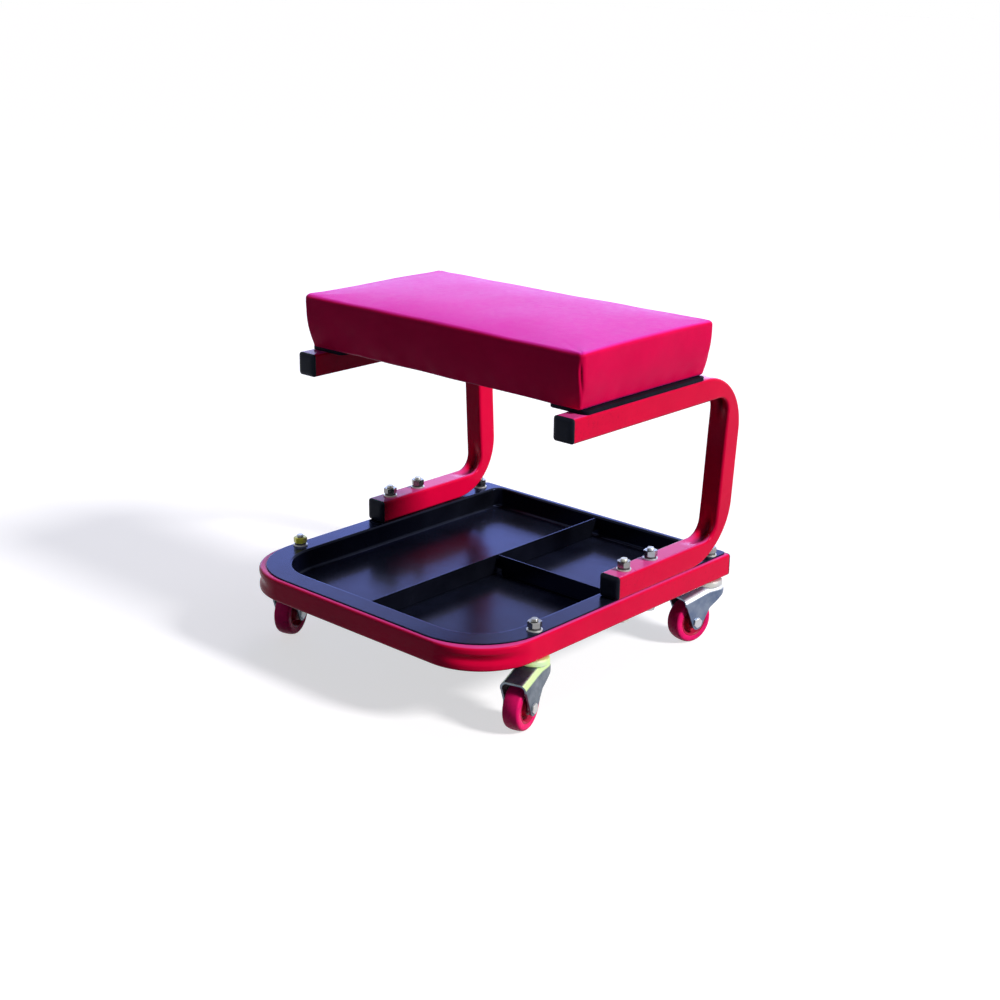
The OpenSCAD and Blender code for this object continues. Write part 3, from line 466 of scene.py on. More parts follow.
def finish_tray(c):
    """Black enamel with dust where it looks up, and long scuffs."""
    dust_colour = (0.03, 0.04, 0.09)
    f = Finish("Black enamel", Metallic=0.42, Specular_IOR_Level=0.2, Specular_Tint=(0.34, 0.46, 1.0))
    dust = f.math("MULTIPLY", f.facing_up(), f.patches(0.03, 0.3, 22, 5, 0.65, (0.35, 0.75)))
    tone = f.patches(shade(c, 0.7), shade(c, 1.6), 30, 4, 0.6, (0.3, 0.75))
    scuffs = f.patches(0.2, 0.27, 60, 8, 0.75, (0.35, 0.75), stretch=(1.0, 6.0, 1.0), distortion=0.6)
    f.set(Base_Color=f.mix(dust, tone, dust_colour), Roughness=scuffs)
    f.bumps((f.noise(24, 2, 0.5), 0.08, 0.0015))
    return f.material


def finish_plate(c):
    """Dull black paint."""
    f = Finish("Black plate paint", Roughness=0.55, Specular_IOR_Level=0.04, Specular_Tint=(1.0, 0.6, 1.0))
    f.set(Base_Color=f.patches(shade(c, 0.5), shade(c, 1.1), 60, 4, 0.6),
          Roughness=f.patches(0.42, 0.6, 140, 5, 0.6))
    f.bumps((f.noise(900, 3, 0.5), 0.12, 0.0004))
    return f.material


def finish_caps(c):
    """Grained plastic, paler on its edges."""
    pale = (0.035, 0.035, 0.042)
    f = Finish("Cap plastic", Roughness=0.4, Specular_IOR_Level=0.08, Specular_Tint=(0.7, 0.8, 1.0))
    f.set(Base_Color=f.mix(f.edges(0.52, 0.62), f.patches(shade(c, 0.8), shade(c, 1.5), 90, 3), pale),
          Roughness=f.patches(0.32, 0.5, 300, 4, 0.6))
    f.bumps((f.cells(2600), 0.12, 0.0002), (f.noise(160, 3), 0.1, 0.0004))
    return f.material


def finish_vinyl(c):
    """Grained vinyl with a painted sky reflection on the top: magenta mixed in where it looks up."""
    f = Finish("Seat vinyl", Roughness=0.36, IOR=1.5, Specular_IOR_Level=0.05, Specular_Tint=(1.0, 0.22, 1.0),
               Sheen_Weight=0.24, Sheen_Roughness=0.4, Sheen_Tint=(0.8, 0.1, 1.0))
    # Painted reflection: this bloom is a magenta tint mixed onto the top, as if it mirrored a bluish sky.
    bloom = f.patches((0.86, 0.035, 0.55), (0.94, 0.05, 0.62), 5, 3, 0.5)
    tone = f.patches(shade(c, 0.85), shade(c, 1.08), 9, 5, 0.6)
    tone = f.mix(f.facing_up(0.55, 0.99, 0.9), tone, bloom)
    pores = f.ramp(f.cells(1500, "SMOOTH_F1", 0.3), ((0.0, 0.7), (0.35, 1.0)))
    f.set(Base_Color=f.mix(1.0, tone, pores, "MULTIPLY"), Roughness=f.patches(0.3, 0.44, 120, 6, 0.65))
    waves, grain, fine = f.noise(45, 4, 0.55), f.cells(1300, "SMOOTH_F1", 0.4), f.noise(2600, 2, 0.5)
    f.bumps((waves, 0.18, 0.0018), (grain, 0.3, 0.0004), (fine, 0.12, 0.0002))
    return f.material


def finish_wheel(c, name, rough):
    """Moulded red rubber or plastic with dirt rubbed into it."""
    dirt_colour = (0.2, 0.012, 0.03)
    f = Finish(name, Roughness=rough, Specular_IOR_Level=0.12, Subsurface_Weight=0.05,
               Subsurface_Radius=(0.004, 0.001, 0.001))
    tone = f.patches(shade(c, 0.82), shade(c, 1.06), 110, 4, 0.6)
    dirt = f.patches(0.0, 0.6, 210, 6, 0.7, (0.56, 0.74))
    f.set(Base_Color=f.mix(dirt, tone, dirt_colour),
          Roughness=f.patches(rough - 0.08, rough + 0.12, 260, 4, 0.6))
    f.bumps((f.noise(1100, 3, 0.5), 0.15, 0.0003))
    return f.material


def finish_zinc(c, name="Zinc plate", warm=(0.80, 0.82, 0.58), tint=0.35, metal=0.6, rough=(0.3, 0.46)):
    """Bright zinc: silver with a faint bluish to yellowish bloom."""
    cold = (0.58, 0.68, 0.86)
    f = Finish(name, Metallic=metal, Roughness=0.35, Specular_IOR_Level=0.8)
    hue = f.ramp(f.noise(26, 2, 0.5, distortion=0.4), ((0.3, cold), (0.48, c), (0.68, warm)))
    f.set(Base_Color=f.mix(tint, c, hue), Roughness=f.patches(*rough, 320, 5, 0.65, (0.3, 0.75)))
    f.bumps((f.noise(900, 3, 0.6), 0.04, 0.0003))
    return f.material


def finish_fork(name, side, fold, crown):
    """Zinc coloured by facing from the cheeks over the folds to the crown: painted shade on the cheeks, painted
    highlights on the folds and a dark painted reflection on the front crowns, with yellow passivation on the front
    folds and bluish on the rear crowns.
    """
    clouds = (0.5, 0.56, 0.6)
    painted_light_bands = (0.0, 0.22, 0.42, 0.84, 0.95)
    f = Finish(name, Metallic=0.9, Roughness=0.3)
    up = f.upward()
    # Painted light: the colour follows the sheet's facing, dark on the upright cheeks, bright where the folds turn to
    # the light, set apart on the crown.
    tone = f.ramp(up, list(zip(painted_light_bands, (side, side, fold, fold, crown))))
    f.set(Base_Color=f.mix(f.patches(0.0, 0.35, 60, 4, 0.6, (0.3, 0.75)), tone, clouds),
          Metallic=f.ramp(up, list(zip(painted_light_bands, (0.9, 0.9, 0.3, 0.3, 0.85)))),
          Roughness=f.patches(0.26, 0.4, 320, 5, 0.65, (0.3, 0.75)))
    f.bumps((f.noise(500, 3, 0.6), 0.01, 0.0003))
    return f.material


def finish_spring(c):
    """Dark hardened wire of the spring washers."""
    f = Finish("Hardened spring steel", Metallic=1.0, Roughness=0.35)
    f.set(Base_Color=f.patches(shade(c, 0.07), shade(c, 0.16), 240, 4, 0.6),
          Roughness=f.patches(0.28, 0.5, 500, 4, 0.6))
    f.bumps((f.noise(1200, 3, 0.5), 0.1, 0.0002))
    return f.material


def finish_steel():
    """Bright steel of the balls and sleeves."""
    f = Finish("Polished steel", Metallic=1.0, Roughness=0.2)
    f.set(Base_Color=f.patches((0.55, 0.56, 0.58), (0.72, 0.73, 0.75), 400, 3),
          Roughness=f.patches(0.14, 0.3, 800, 3, 0.6))
    return f.material


def finish_wood():
    """Plywood with its grain along the seat."""
    f = Finish("Plywood", Roughness=0.7)
    grain = f.noise(40, 6, 0.6, stretch=(1.0, 14.0, 30.0), distortion=1.2)
    f.set(Base_Color=f.ramp(grain, ((0.3, (0.36, 0.22, 0.10)), (0.55, (0.58, 0.40, 0.22)), (0.8, (0.68, 0.50, 0.30)))))
    f.bumps((grain, 0.25, 0.0005))
    return f.material


def finish_cloth():
    """Matted black fibres."""
    f = Finish("Dust cloth", Roughness=0.95, Sheen_Weight=0.3)
    fibres = f.noise(900, 6, 0.8, distortion=2.0)
    f.set(Base_Color=f.ramp(fibres, ((0.3, (0.01, 0.01, 0.011)), (0.7, (0.035, 0.035, 0.038)))))
    f.bumps((fibres, 0.4, 0.0004), (f.cells(420), 0.25, 0.0003))
    return f.material


def finishes():
    """Make every finish once, from the colours in the panel."""
    p = bpy.context.scene.workseat_finish
    yellow, blue = tuple(p.yellow_zinc), tuple(p.blue_zinc)
    FINISHES.update(
        frame=finish_frame(tuple(p.frame_red)),
        tray=finish_tray(tuple(p.tray_black)),
        plate=finish_plate(tuple(p.cap_black)),
        cap=finish_caps(tuple(p.cap_black)),
        vinyl=finish_vinyl(tuple(p.vinyl)),
        tyre=finish_wheel(tuple(p.tread), "Red tread", 0.42),
        core=finish_wheel(tuple(p.core), "Red wheel core", 0.32),
        zinc=finish_zinc(shade(p.zinc, 0.7)),
        nuts=finish_zinc(shade(p.zinc, 0.34), "Zinc plate of the nuts", warm=(0.30, 0.30, 0.27), tint=0.3, metal=0.95,
                         rough=(0.16, 0.3)),
        yellow=finish_zinc((1.0, 0.98, 0.06), "Yellow zinc plate", warm=(0.95, 0.84, 0.08), tint=0.6, metal=0.25),
        spring=finish_spring(tuple(p.zinc)),
        # The forks' cheeks, folds and crowns get painted shade, painted highlights and painted reflection by facing.
        fork_front=finish_fork("Zinc plate of the front forks", side=(0.06, 0.09, 0.13), fold=yellow,
                               crown=(0.05, 0.06, 0.13)),
        fork_rear=finish_fork("Zinc plate of the rear forks", side=(0.09, 0.13, 0.22), fold=(0.86, 0.90, 1.0),
                              crown=blue),
        race=finish_zinc(yellow, "Zinc plate of the front races", warm=(0.80, 0.92, 0.50), tint=0.5, metal=0.5),
        steel=finish_steel(),
        wood=finish_wood(),
        cloth=finish_cloth(),
    )


# ---- Square tube ----

BEND_STEPS = 26
LEAD = 0.002  # Straight tube between a bend and the ring before or after it


def crush_radius(t, r):
    """Radius of the rounded hollow that squeezing leaves in a bend's inner wall."""
    return r - (math.sqrt(2) * t.size - t.squeezed) / (math.sqrt(2) - 1)


def inner_reach(t, r, a):
    """Distance of the squeezed inner wall from the bend's centre, at an angle in degrees."""
    i = r - t.size
    c = crush_radius(t, r)
    m = i - c
    b = math.radians(min(a, 90 - a))
    if i * math.tan(b) <= m:
        return i / math.cos(b)
    return m * (math.cos(b) + math.sin(b)) + math.sqrt(c * c - (m * (math.cos(b) - math.sin(b))) ** 2)


def dip(share):
    """Depth of a crease or scoop across its width: 1 in the middle, 0 at its edges."""
    return math.cos(math.pi / 2 * share) ** 2


def tube_section(t, width, bent, inset):
    """Outline of the tube: depth below the outer wall, and place across it."""
    h, far = t.size / 2 - inset, width - inset
    r = t.corner - t.wall * 0.8 if inset else t.corner
    steps = 6
    shares = [i / steps for i in range(-steps, steps + 1)]
    scoop = t.size - 2 * t.corner
    return (
        [(inset + bent * t.crease_depth * dip(k), k * t.crease_width / 2) for k in shares]
        + arc(inset + r, h - r, r, 180, 90, steps)
        + arc(far - r, h - r, r, 90, 0, steps)
        + [(far - bent * t.scoop_depth * dip(k), -k * scoop / 2) for k in shares]
        + arc(far - r, r - h, r, 0, -90, steps)
        + arc(inset + r, r - h, r, -90, -180, steps)
    )


def bend(t, c, r, a0):
    """Stations round a bend: point on the outer wall, outward direction, thickness, share of bending."""
    out = []
    for i in range(BEND_STEPS + 1):
        b = 90 * i / BEND_STEPS
        a = math.radians(a0 + b)
        d = (math.cos(a), math.sin(a))
        point = (c[0] + r * d[0], c[1] + r * d[1])
        out.append((point, d, r - inner_reach(t, r, b), math.sin(2 * math.radians(b)) ** 2))
    return out


def sweep(t, stations, place):
    """Hollow tube through its stations. Place turns two coordinates in the bend's plane and one across it into space,
    and also gets the station's point, direction and thickness."""
    def rings(inset):
        return [[place(p[0] - d * out[0], p[1] - d * out[1], n, p, out, w) for d, n in tube_section(t, w, bent, inset)]
                for p, out, w, bent in stations]

    outer, bore = rings(0.0), rings(t.wall)
    n, m = len(outer[0]), len(outer)
    verts, skin = loft(outer)
    verts, faces = merge([(verts, [f[::-1] for f in skin]), loft(bore)])
    faces += [f[::-1] for f in strip(m * n, 0, n)] + [f[::-1] for f in strip((m - 1) * n, (2 * m - 1) * n, n)]
    return verts, faces


class WORKSEAT_OT_base(bpy.types.Operator):
    """Build the bent base tube"""
    bl_idname = "workseat.base"
    bl_label = "Base Tube"

    def execute(self, context):
        t = context.scene.workseat_tube
        (x0, y0, z0), (x1, y1, z1) = BASE
        zc, r = (z0 + z1) / 2, t.base_bend
        bent_y = y0 + r + LEAD
        stations = [((x0, y1), (-1, 0), t.size, 0.0), ((x0, bent_y), (-1, 0), t.size, 0.0)]
        stations += bend(t, (x0 + r, y0 + r), r, 180) + bend(t, (x1 - r, y0 + r), r, 270)
        stations += [((x1, bent_y), (1, 0), t.size, 0.0), ((x1, y1), (1, 0), t.size, 0.0)]
        data = sweep(t, stations, lambda a, b, n, *_: (a, b, zc + n))
        o = piece("base_tube", data, FINISHES["frame"], stands_for=["base_frame"], angle=60)
        even_normals(o)
        return {"FINISHED"}


class WORKSEAT_OT_legs(bpy.types.Operator):
    """Build the two C-shaped legs"""
    bl_idname = "workseat.legs"
    bl_label = "Legs"

    def execute(self, context):
        t, m6 = context.scene.workseat_tube, context.scene.workseat_caster.axle
        (_, arm_y0, z0), (_, y1, z1) = LEG
        foot_x, r = BASE[1].x - t.size / 2, t.leg_bend
        rise, bent_y = z1 - z0, y1 - r - LEAD
        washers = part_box("plate_washers")
        for side, name in zip(SIDES, ("left_leg", "right_leg")):
            stations = [((y1 - t.foot, z0), (0, -1), t.size, 0.0), ((bent_y, z0), (0, -1), t.size, 0.0)]
            stations += bend(t, (y1 - r, z0 + r), r, 270) + bend(t, (y1 - r, z1 - r), r, 0)
            stations += [((bent_y, z1), (0, 1), t.size, 0.0), ((arm_y0, z1), (0, 1), t.size, 0.0)]

            def place(a, b, n, p, out, w):
                middle = p[1] - w / 2 * out[1]
                lean = t.lean * (middle - z0 - t.size / 2) / (rise - t.size)
                return side * (foot_x + lean + n), a, b

            verts, faces = sweep(t, stations, place)
            if side < 0:
                faces = [f[::-1] for f in faces]
            o = piece(name + "_tube", (verts, faces), FINISHES["frame"], stands_for=[name],
                      angle=60)
            # Holes in the arm's bottom wall, below the nuts of the seat plate. The drill reaches past both its faces
            x, low = side * (foot_x + t.lean), z1 - t.size
            hole = [(t.access / 2, low - 0.002), (t.access / 2, low + 0.004)]
            rows = (washers[0].y + m6, washers[1].y - m6)
            drill(o, merge([turn(hole, 40, at(x, y), first=True, last=True) for y in rows]))
            even_normals(o)
        return {"FINISHED"}


class WORKSEAT_OT_caps(bpy.types.Operator):
    """Build the plastic caps in the tube ends"""
    bl_idname = "workseat.caps"
    bl_label = "End Caps"

    def cap(self, t, place):
        """Domed flange on the plane z = 0, with its ribbed plug below."""
        s, dome, soft, play, rib = t.size, t.size * 0.16, 0.0004, 0.0006, 0.0004
        rings = [rounded_rect(s - soft, s - soft, t.corner, 0.0, 6), rounded_rect(s, s, t.corner, 0.0003, 6)]
        for a in quarter(12):
            w = s * (0.46 + 0.54 * math.cos(a) ** 0.8)
            rings.append(rounded_rect(w, w, t.corner, dome * (0.25 + 0.75 * math.sin(a) ** 1.2), 6))
        flange = loft(rings, first=True, last=True)
        w = s - 2 * t.wall - play
        rings = []
        for i in range(9):
            c = rib if i % 2 else 0.0
            rings.append(rounded_rect(w - c, w - c, t.corner / 2, -s / 2 * (1 - i / 8), 6))
        return [moved(flange, place), moved(loft(rings, first=True), place)]

    def execute(self, context):
        t = context.scene.workseat_tube
        base_x, base_z = BASE[1].x - t.size / 2, (BASE[0].z + BASE[1].z) / 2
        back, front = (Matrix.Rotation(math.radians(a), 4, "X") for a in (-90, 90))
        rows = (
            ("base_caps", "base_end_caps", base_x, BASE[1].y, base_z, back),
            ("foot_caps", "foot_end_caps", base_x, LEG[1].y - t.foot, LEG[0].z + t.size / 2, front),
            ("arm_caps", "arm_end_caps", base_x + t.lean, LEG[0].y, LEG[1].z - t.size / 2, front),
        )
        for name, node, x, y, z, tilt in rows:
            parts = [part for s in SIDES for part in self.cap(t, at(s * x, y, z) @ tilt)]
            piece(name, merge(parts), FINISHES["cap"], stands_for=[node], angle=50)
        return {"FINISHED"}


# ---- Tray ----

def tray_ring(w, y0, y1, front, rear, z, steps=14):
    """Ring of the tray's outline at a height, anticlockwise from the right rear corner."""
    ring = arc(w - rear, y1 - rear, rear, 0, 90, steps) + arc(rear - w, y1 - rear, rear, 90, 180, steps)
    ring += arc(front - w, y0 + front, front, 180, 270, steps) + arc(w - front, y0 + front, front, 270, 360, steps)
    return [(x, y, z) for x, y in ring]


class WORKSEAT_OT_tray(bpy.types.Operator):
    """Build the pressed tool tray"""
    bl_idname = "workseat.tray"
    bl_label = "Tray"

    def execute(self, context):
        t, tube = context.scene.workseat_tray, context.scene.workseat_tube
        (_, y0, z0), (x1, y1, z1) = TRAY
        wall_x = BASE[1].x - tube.size - t.gap - t.sheet
        wall_y0 = BASE[0].y + tube.size + t.gap + t.sheet
        wall_y1 = y1 - t.rear_rim - t.sheet

        def rim(inset):
            """Outline of the rim's upper face."""
            return tray_ring(x1 - inset, y0 + inset, y1 - inset, t.rim_front - inset, t.rim_rear - inset, z1)

        def pan(out, z):
            """Outline of the pan's wall, moved out at a height."""
            return tray_ring(wall_x + out, wall_y0 - out, wall_y1 + out, t.pan_front - t.sheet + out,
                             t.pan_rear - t.sheet + out, z)

        # From the rim's edge over its fillet, down the wall, over the floor's fillet and across the floor
        a, b = t.rim_fillet, t.floor_fillet
        floor = z0 + t.sheet
        rings = [rim(0.0), rim(0.0008), pan(a + 0.0004, z1)]
        rings += [pan(a * (1 - math.sin(q)), z1 - a * (1 - math.cos(q))) for q in quarter(6)]
        rings.append(pan(0.0, floor + b + 0.001))
        rings += [pan(-b * (1 - math.cos(q)), floor + b * (1 - math.sin(q))) for q in quarter(7)]
        rings.append(pan(-b - 0.004, floor))
        o = piece("tray_pan", loft(rings, last=True), FINISHES["tray"], stands_for=["tool_tray"],
                  angle=50)
        thicken(o, t.sheet)
        bevel(o, 0.00025, 2, 60)
        even_normals(o)
        return {"FINISHED"}


class WORKSEAT_OT_dividers(bpy.types.Operator):
    """Build the folded sheet dividers and their spot welds"""
    bl_idname = "workseat.dividers"
    bl_label = "Dividers"

    FOLD = 0.0016  # Inner radius of a divider's folds
    CLEAR = 0.005  # Web left free of tabs at its corners
    LONG_WELDS, CROSS_WELDS = (0.08, 0.29, 0.5, 0.71, 0.92), (0.15, 0.5, 0.85)  # Shares of the dividers' lengths
    WELD = ((0.0031, 0.0), (0.0028, 0.00022), (0.0022, 0.0002), (0.0016, -0.00002), (0.0003, -0.00006))

    def folded(self, u, lo, hi):
        """Arc length to (along, across): straight between lo and hi, folded by 90 degrees at both ends."""
        r = self.FOLD
        for edge, sign in ((lo, -1), (hi, 1)):
            over = (u - edge) * sign
            if over > 0:
                q = min(over / r, math.pi / 2)
                return edge + sign * r * math.sin(q), r * (1 - math.cos(q)) + max(0.0, over - r * math.pi / 2)
        return u, 0.0

    def sheet(self, node, long, tall, place):
        """Divider along +X: web, foot and end tabs, folded from one blank."""
        t = bpy.context.scene.workseat_tray
        r, clear = self.FOLD, self.CLEAR
        arc_l = r * math.pi / 2
        fold = [arc_l * i / 4 for i in range(1, 5)]
        flat, span = t.tab - r, long - 2 * r
        before = [-flat - arc_l] + [-x for x in reversed(fold)]
        us = before + [0.0, clear] + [clear + (long - 2 * clear - 2 * r) * i / 12 for i in range(1, 12)]
        us += [span - clear, span] + [span + x for x in fold] + [span + arc_l + flat]
        vs = before + [0.0, clear, tall * 0.5, tall - r - clear, tall - r]
        keep, verts, faces = {}, [], []

        def vertex(i, j):
            if (i, j) not in keep:
                x, a = self.folded(us[i], 0.0, span)
                z, b = self.folded(vs[j], 0.0, math.inf)
                keep[i, j] = len(verts)
                verts.append(place @ Vector((x + r, a + b, z + r)))
            return keep[i, j]

        for i in range(len(us) - 1):
            for j in range(len(vs) - 1):
                tabs = us[i] < 0 or us[i + 1] > span + TINY
                ends = us[i] < clear - TINY or us[i + 1] > span - clear + TINY
                low, high = vs[j] < clear - TINY, vs[j + 1] > tall - r - clear + TINY
                if (tabs and high) or (ends and low):
                    continue
                faces.append((vertex(i, j), vertex(i + 1, j), vertex(i + 1, j + 1), vertex(i, j + 1)))
        o = piece(node + "_sheet", (verts, faces), FINISHES["tray"], stands_for=[node], angle=50)
        thicken(o, t.sheet)
        bevel(o, 0.0002, 2, 60)
        even_normals(o)

    def execute(self, context):
        t = context.scene.workseat_tray
        lo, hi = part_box("long_divider")
        self.sheet("long_divider", hi.y - lo.y, hi.z - lo.z, at(hi.x, lo.y, lo.z, math.radians(90)))
        cross_lo, cross_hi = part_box("cross_divider")
        width = cross_hi.x - cross_lo.x
        self.sheet("cross_divider", width, cross_hi.z - cross_lo.z, at(*cross_lo))
        from_edge = t.tab * 0.62
        spots = [(hi.x - from_edge, lo.y + (hi.y - lo.y) * k) for k in self.LONG_WELDS]
        spots += [(cross_lo.x + width * k, cross_lo.y + from_edge) for k in self.CROSS_WELDS]
        welds = [turn(self.WELD, 20, at(x, y, lo.z + t.sheet), last=True) for x, y in spots]
        piece("spot_welds", merge(welds), FINISHES["tray"], angle=80)
        return {"FINISHED"}


# ---- Fasteners ----

def corners(node, r):
    """Centres of a node's round parts of radius r, which fill the corners of its box."""
    lo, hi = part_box(node)
    return [(x, y) for x in (lo.x + r, hi.x - r) for y in (lo.y + r, hi.y - r)]


def height(node):
    """Height of a CAD node."""
    lo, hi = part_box(node)
    return hi.z - lo.z


def hex_rings(flats, tall, both, place, bore=None, steps=72):
    """Hexagon from z = 0 up, chamfered at the top or on both ends, with the arcs that turning leaves on its flats."""
    rc, tan30 = flats / 2 * 0.97, math.tan(math.radians(30))

    def reach(a):
        """Distance of the flats from the axis at an angle."""
        return flats / 2 / math.cos(((a + math.pi / 6) % (math.pi / 3)) - math.pi / 6)

    def ring(edge, low):
        """Bottom or top ring at a radius, or along the flats where there is none."""
        out = []
        for a in turns(steps):
            r = edge or reach(a)
            drop = 0.0 if edge else max(0.0, r - rc) * tan30
            z = (drop if both else 0.0) if low else tall - drop
            out.append(place @ about_z(r, a, z))
        return out

    rings = [ring(rc, True), ring(None, True), ring(None, False), ring(rc, False)]
    if bore:
        return loft([ring(bore, True)] + rings + [ring(bore, False)], around=True)
    return loft(rings, first=True, last=True)


def threaded(d, pitch, z0, z1, place, start=None):
    """Screw thread from z0 to z1 with a turned end, and a plain shank down to start."""
    steps, per_pitch = 28, 8
    depth, chamfer = pitch * 0.6, d / 8
    rings = []
    count = max(2, int((z1 - z0) / pitch * per_pitch))
    if start is not None:
        rings.append([place @ about_z(d / 2, a, start) for a in turns(steps)])
    for k in range(count + 1):
        z = z0 + (z1 - z0) * k / count
        taper = max(0.0, 1 - (z1 - z) / chamfer) * depth
        ring = []
        for i, a in enumerate(turns(steps)):
            phase = (z / pitch - i / steps) % 1.0
            r = min(d / 2 - depth * abs(2 * phase - 1), d / 2 - taper)
            ring.append(place @ about_z(r, a, z))
        rings.append(ring)
    return loft(rings, first=start is None, last=True)


def washer_data(d, bore, h, place, edge=0.0002):
    """Flat washer with broken edges."""
    profile = [(bore / 2, 0.0), (d / 2 - edge, 0.0), (d / 2, edge), (d / 2, h - edge), (d / 2 - edge, h), (bore / 2, h)]
    return turn(profile, 48, place, around=True)


def spring_washer_data(d, bore, h, place, yaw):
    """Split ring of square wire that rises across its slit. Yaw is the slit's angle in degrees."""
    wire = [(bore / 2, 0.0), (d / 2, 0.0), (d / 2, h), (bore / 2, h)]
    steps, slit, rise = 40, 10, 0.0001
    rings = []
    for i in range(steps + 1):
        a = math.radians(yaw + slit / 2 + (360 - slit) * i / steps)
        lift = rise * (i / steps - 0.5)
        rings.append([place @ about_z(r, a, z + lift) for r, z in wire])
    return loft(rings, first=True, last=True)


class WORKSEAT_OT_fasteners(bpy.types.Operator):
    """Build the bolts, washers and nuts of legs, stems and plates"""
    bl_idname = "workseat.fasteners"
    bl_label = "Fasteners"

    LOOSE = 1.04  # Bore of a washer over the diameter of its bolt
    IN_NUT, IN_HEAD = 0.002, 0.0005  # How far a leg bolt's thread reaches into its nut, and its shank into its head
    SCREW, SCREW_PITCH = 0.0045, 0.0018  # Diameter and pitch of the seat's screws
    SCREW_HEAD = 0.0045  # Radius of their heads
    DOME = ((0.0045, 0.0), (0.0045, -0.0008), (0.004, -0.0018), (0.003, -0.0024), (0.0019, -0.0026),
            (0.0018, -0.0016), (0.0008, -0.0014))
    RECESS = 0.00195  # Radius round the cross recess in those heads

    def stack(self, p, kind, start):
        """Washers, spring washers and nuts of leg bolts or stems. Returns the nuts, and the count of faces of one."""
        d = p.bolt
        spots = corners(kind + "_washers", d)
        makers = {
            "washers": ("zinc", lambda k, h, m: washer_data(2 * d, d * self.LOOSE, h, m)),
            "spring_washers": ("spring", lambda k, h, m: spring_washer_data(1.6 * d, d * self.LOOSE, h, m, 40 * k)),
            "nuts": ("nuts", lambda k, h, m: hex_rings(p.flats, h, True, m, d * 0.5)),
        }
        for part, (look, make) in makers.items():
            node = f"{kind}_{part}"
            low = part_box(node)[0].z
            rows = [make(k, height(node), at(x, y, low, math.radians(start + 37 * k)))
                    for k, (x, y) in enumerate(spots)]
            o = hardware(node + "_set", rows, [node], look)
        return o, len(rows[0][1])

    def execute(self, context):
        p = context.scene.workseat_caster
        self.stack(p, "leg", 23)
        nuts, faces = self.stack(p, "stem", 11)
        # The first of the stems' nuts is a yellow one
        nuts.data.materials.append(FINISHES["yellow"])
        for polygon in nuts.data.polygons[:faces]:
            polygon.material_index = 1
        self.leg_bolts(p)
        self.plate_bolts(p)
        self.seat_screws()
        return {"FINISHED"}

    def leg_bolts(self, p):
        """Bolts that hold feet, rim and base tube together, with their heads below the base."""
        lo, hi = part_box("leg_bolts")
        under = BASE[0].z
        nut_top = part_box("leg_nuts")[1].z
        rows = []
        for k, (x, y) in enumerate(corners("leg_washers", p.bolt)):
            head = at(x, y, under) @ FLIP @ at(yaw=math.radians(31 * k))
            rows.append(hex_rings(p.flats, under - lo.z, False, head))
            shank = at(x, y, 0.0, math.radians(17 * k))
            rows.append(threaded(p.bolt, p.pitch, nut_top - self.IN_NUT, hi.z, shank, under - self.IN_HEAD))
        hardware("leg_bolt_set", rows, ["leg_bolts"])

    def plate_bolts(self, p):
        """Countersunk bolts of the seat plates, with the washers and nuts inside the arms."""
        m6, shank = p.axle, 0.02
        spots = corners("plate_washers", m6)
        lo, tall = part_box("plate_washers")[0].z, height("plate_washers")
        rows = [washer_data(2 * m6, m6 * self.LOOSE, tall, at(x, y, lo)) for x, y in spots]
        hardware("plate_washer_set", rows, ["plate_washers"])
        lo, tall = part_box("plate_nuts")[0].z, height("plate_nuts")
        rows = [hex_rings(p.axle_flats, tall, True, at(x, y, lo, 0.4 * k), m6 * 0.5) for k, (x, y) in enumerate(spots)]
        hardware("plate_nut_set", rows, ["plate_nuts"])
        top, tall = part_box("plate_bolts")[1].z, height("plate_bolts")
        rows = []
        for x, y in spots:
            down = at(x, y, top) @ FLIP
            rows.append(turn([(m6, 0.0), (m6, 0.0004), (m6 / 2, m6 / 2), (m6 / 2, shank)], 32, down, first=True))
            rows.append(threaded(m6, FINE_PITCH, shank, tall, down))
        hardware("plate_bolt_set", rows, ["plate_bolts"])

    def seat_screws(self):
        """Pan-head screws that hold the board, each with a cross recess."""
        low, high = PLATE[0].z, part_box("seat_screws")[1].z
        rows = []
        for k, (x, y) in enumerate(corners("seat_screws", self.SCREW_HEAD)):
            def cross(r, a):
                """The inner rings of the head follow the arms of the recess."""
                arm = r > self.RECESS or abs(math.sin(2 * (a + k))) < 0.7
                return r if arm else r * 0.42

            rows.append(turn(self.DOME, 40, at(x, y, low), first=True, last=True, shape=cross))
            rows.append(threaded(self.SCREW, self.SCREW_PITCH, 0.0, high - low, at(x, y, low)))
        hardware("seat_screw_set", rows, ["seat_screws"])


# ---- Seat ----

def seat_outline(hx, hy, r, corner=14, long=84, short=48):
    """Points round the seat's outline, anticlockwise from the corner at +X +Y."""
    ring = []
    for q, (sx, sy) in enumerate(((1, 1), (-1, 1), (-1, -1), (1, -1))):
        cx, cy = sx * (hx - r), sy * (hy - r)
        ring += arc(cx, cy, r, 90 * q, 90 * q + 90, corner)
        steps = long if q % 2 == 0 else short
        nx, ny = (-cx, cy) if q % 2 == 0 else (cx, -cy)
        ex, ey = (0, sy * r) if q % 2 == 0 else (sx * r, 0)
        ring += [(cx + (nx - cx) * i / steps + ex, cy + (ny - cy) * i / steps + ey) for i in range(1, steps)]
    return ring


def read_vectors(data, count, name):
    """Coordinates or normals of a mesh as an array."""
    out = np.zeros(count * 3)
    data.foreach_get(name, out)
    return out.reshape(-1, 3)


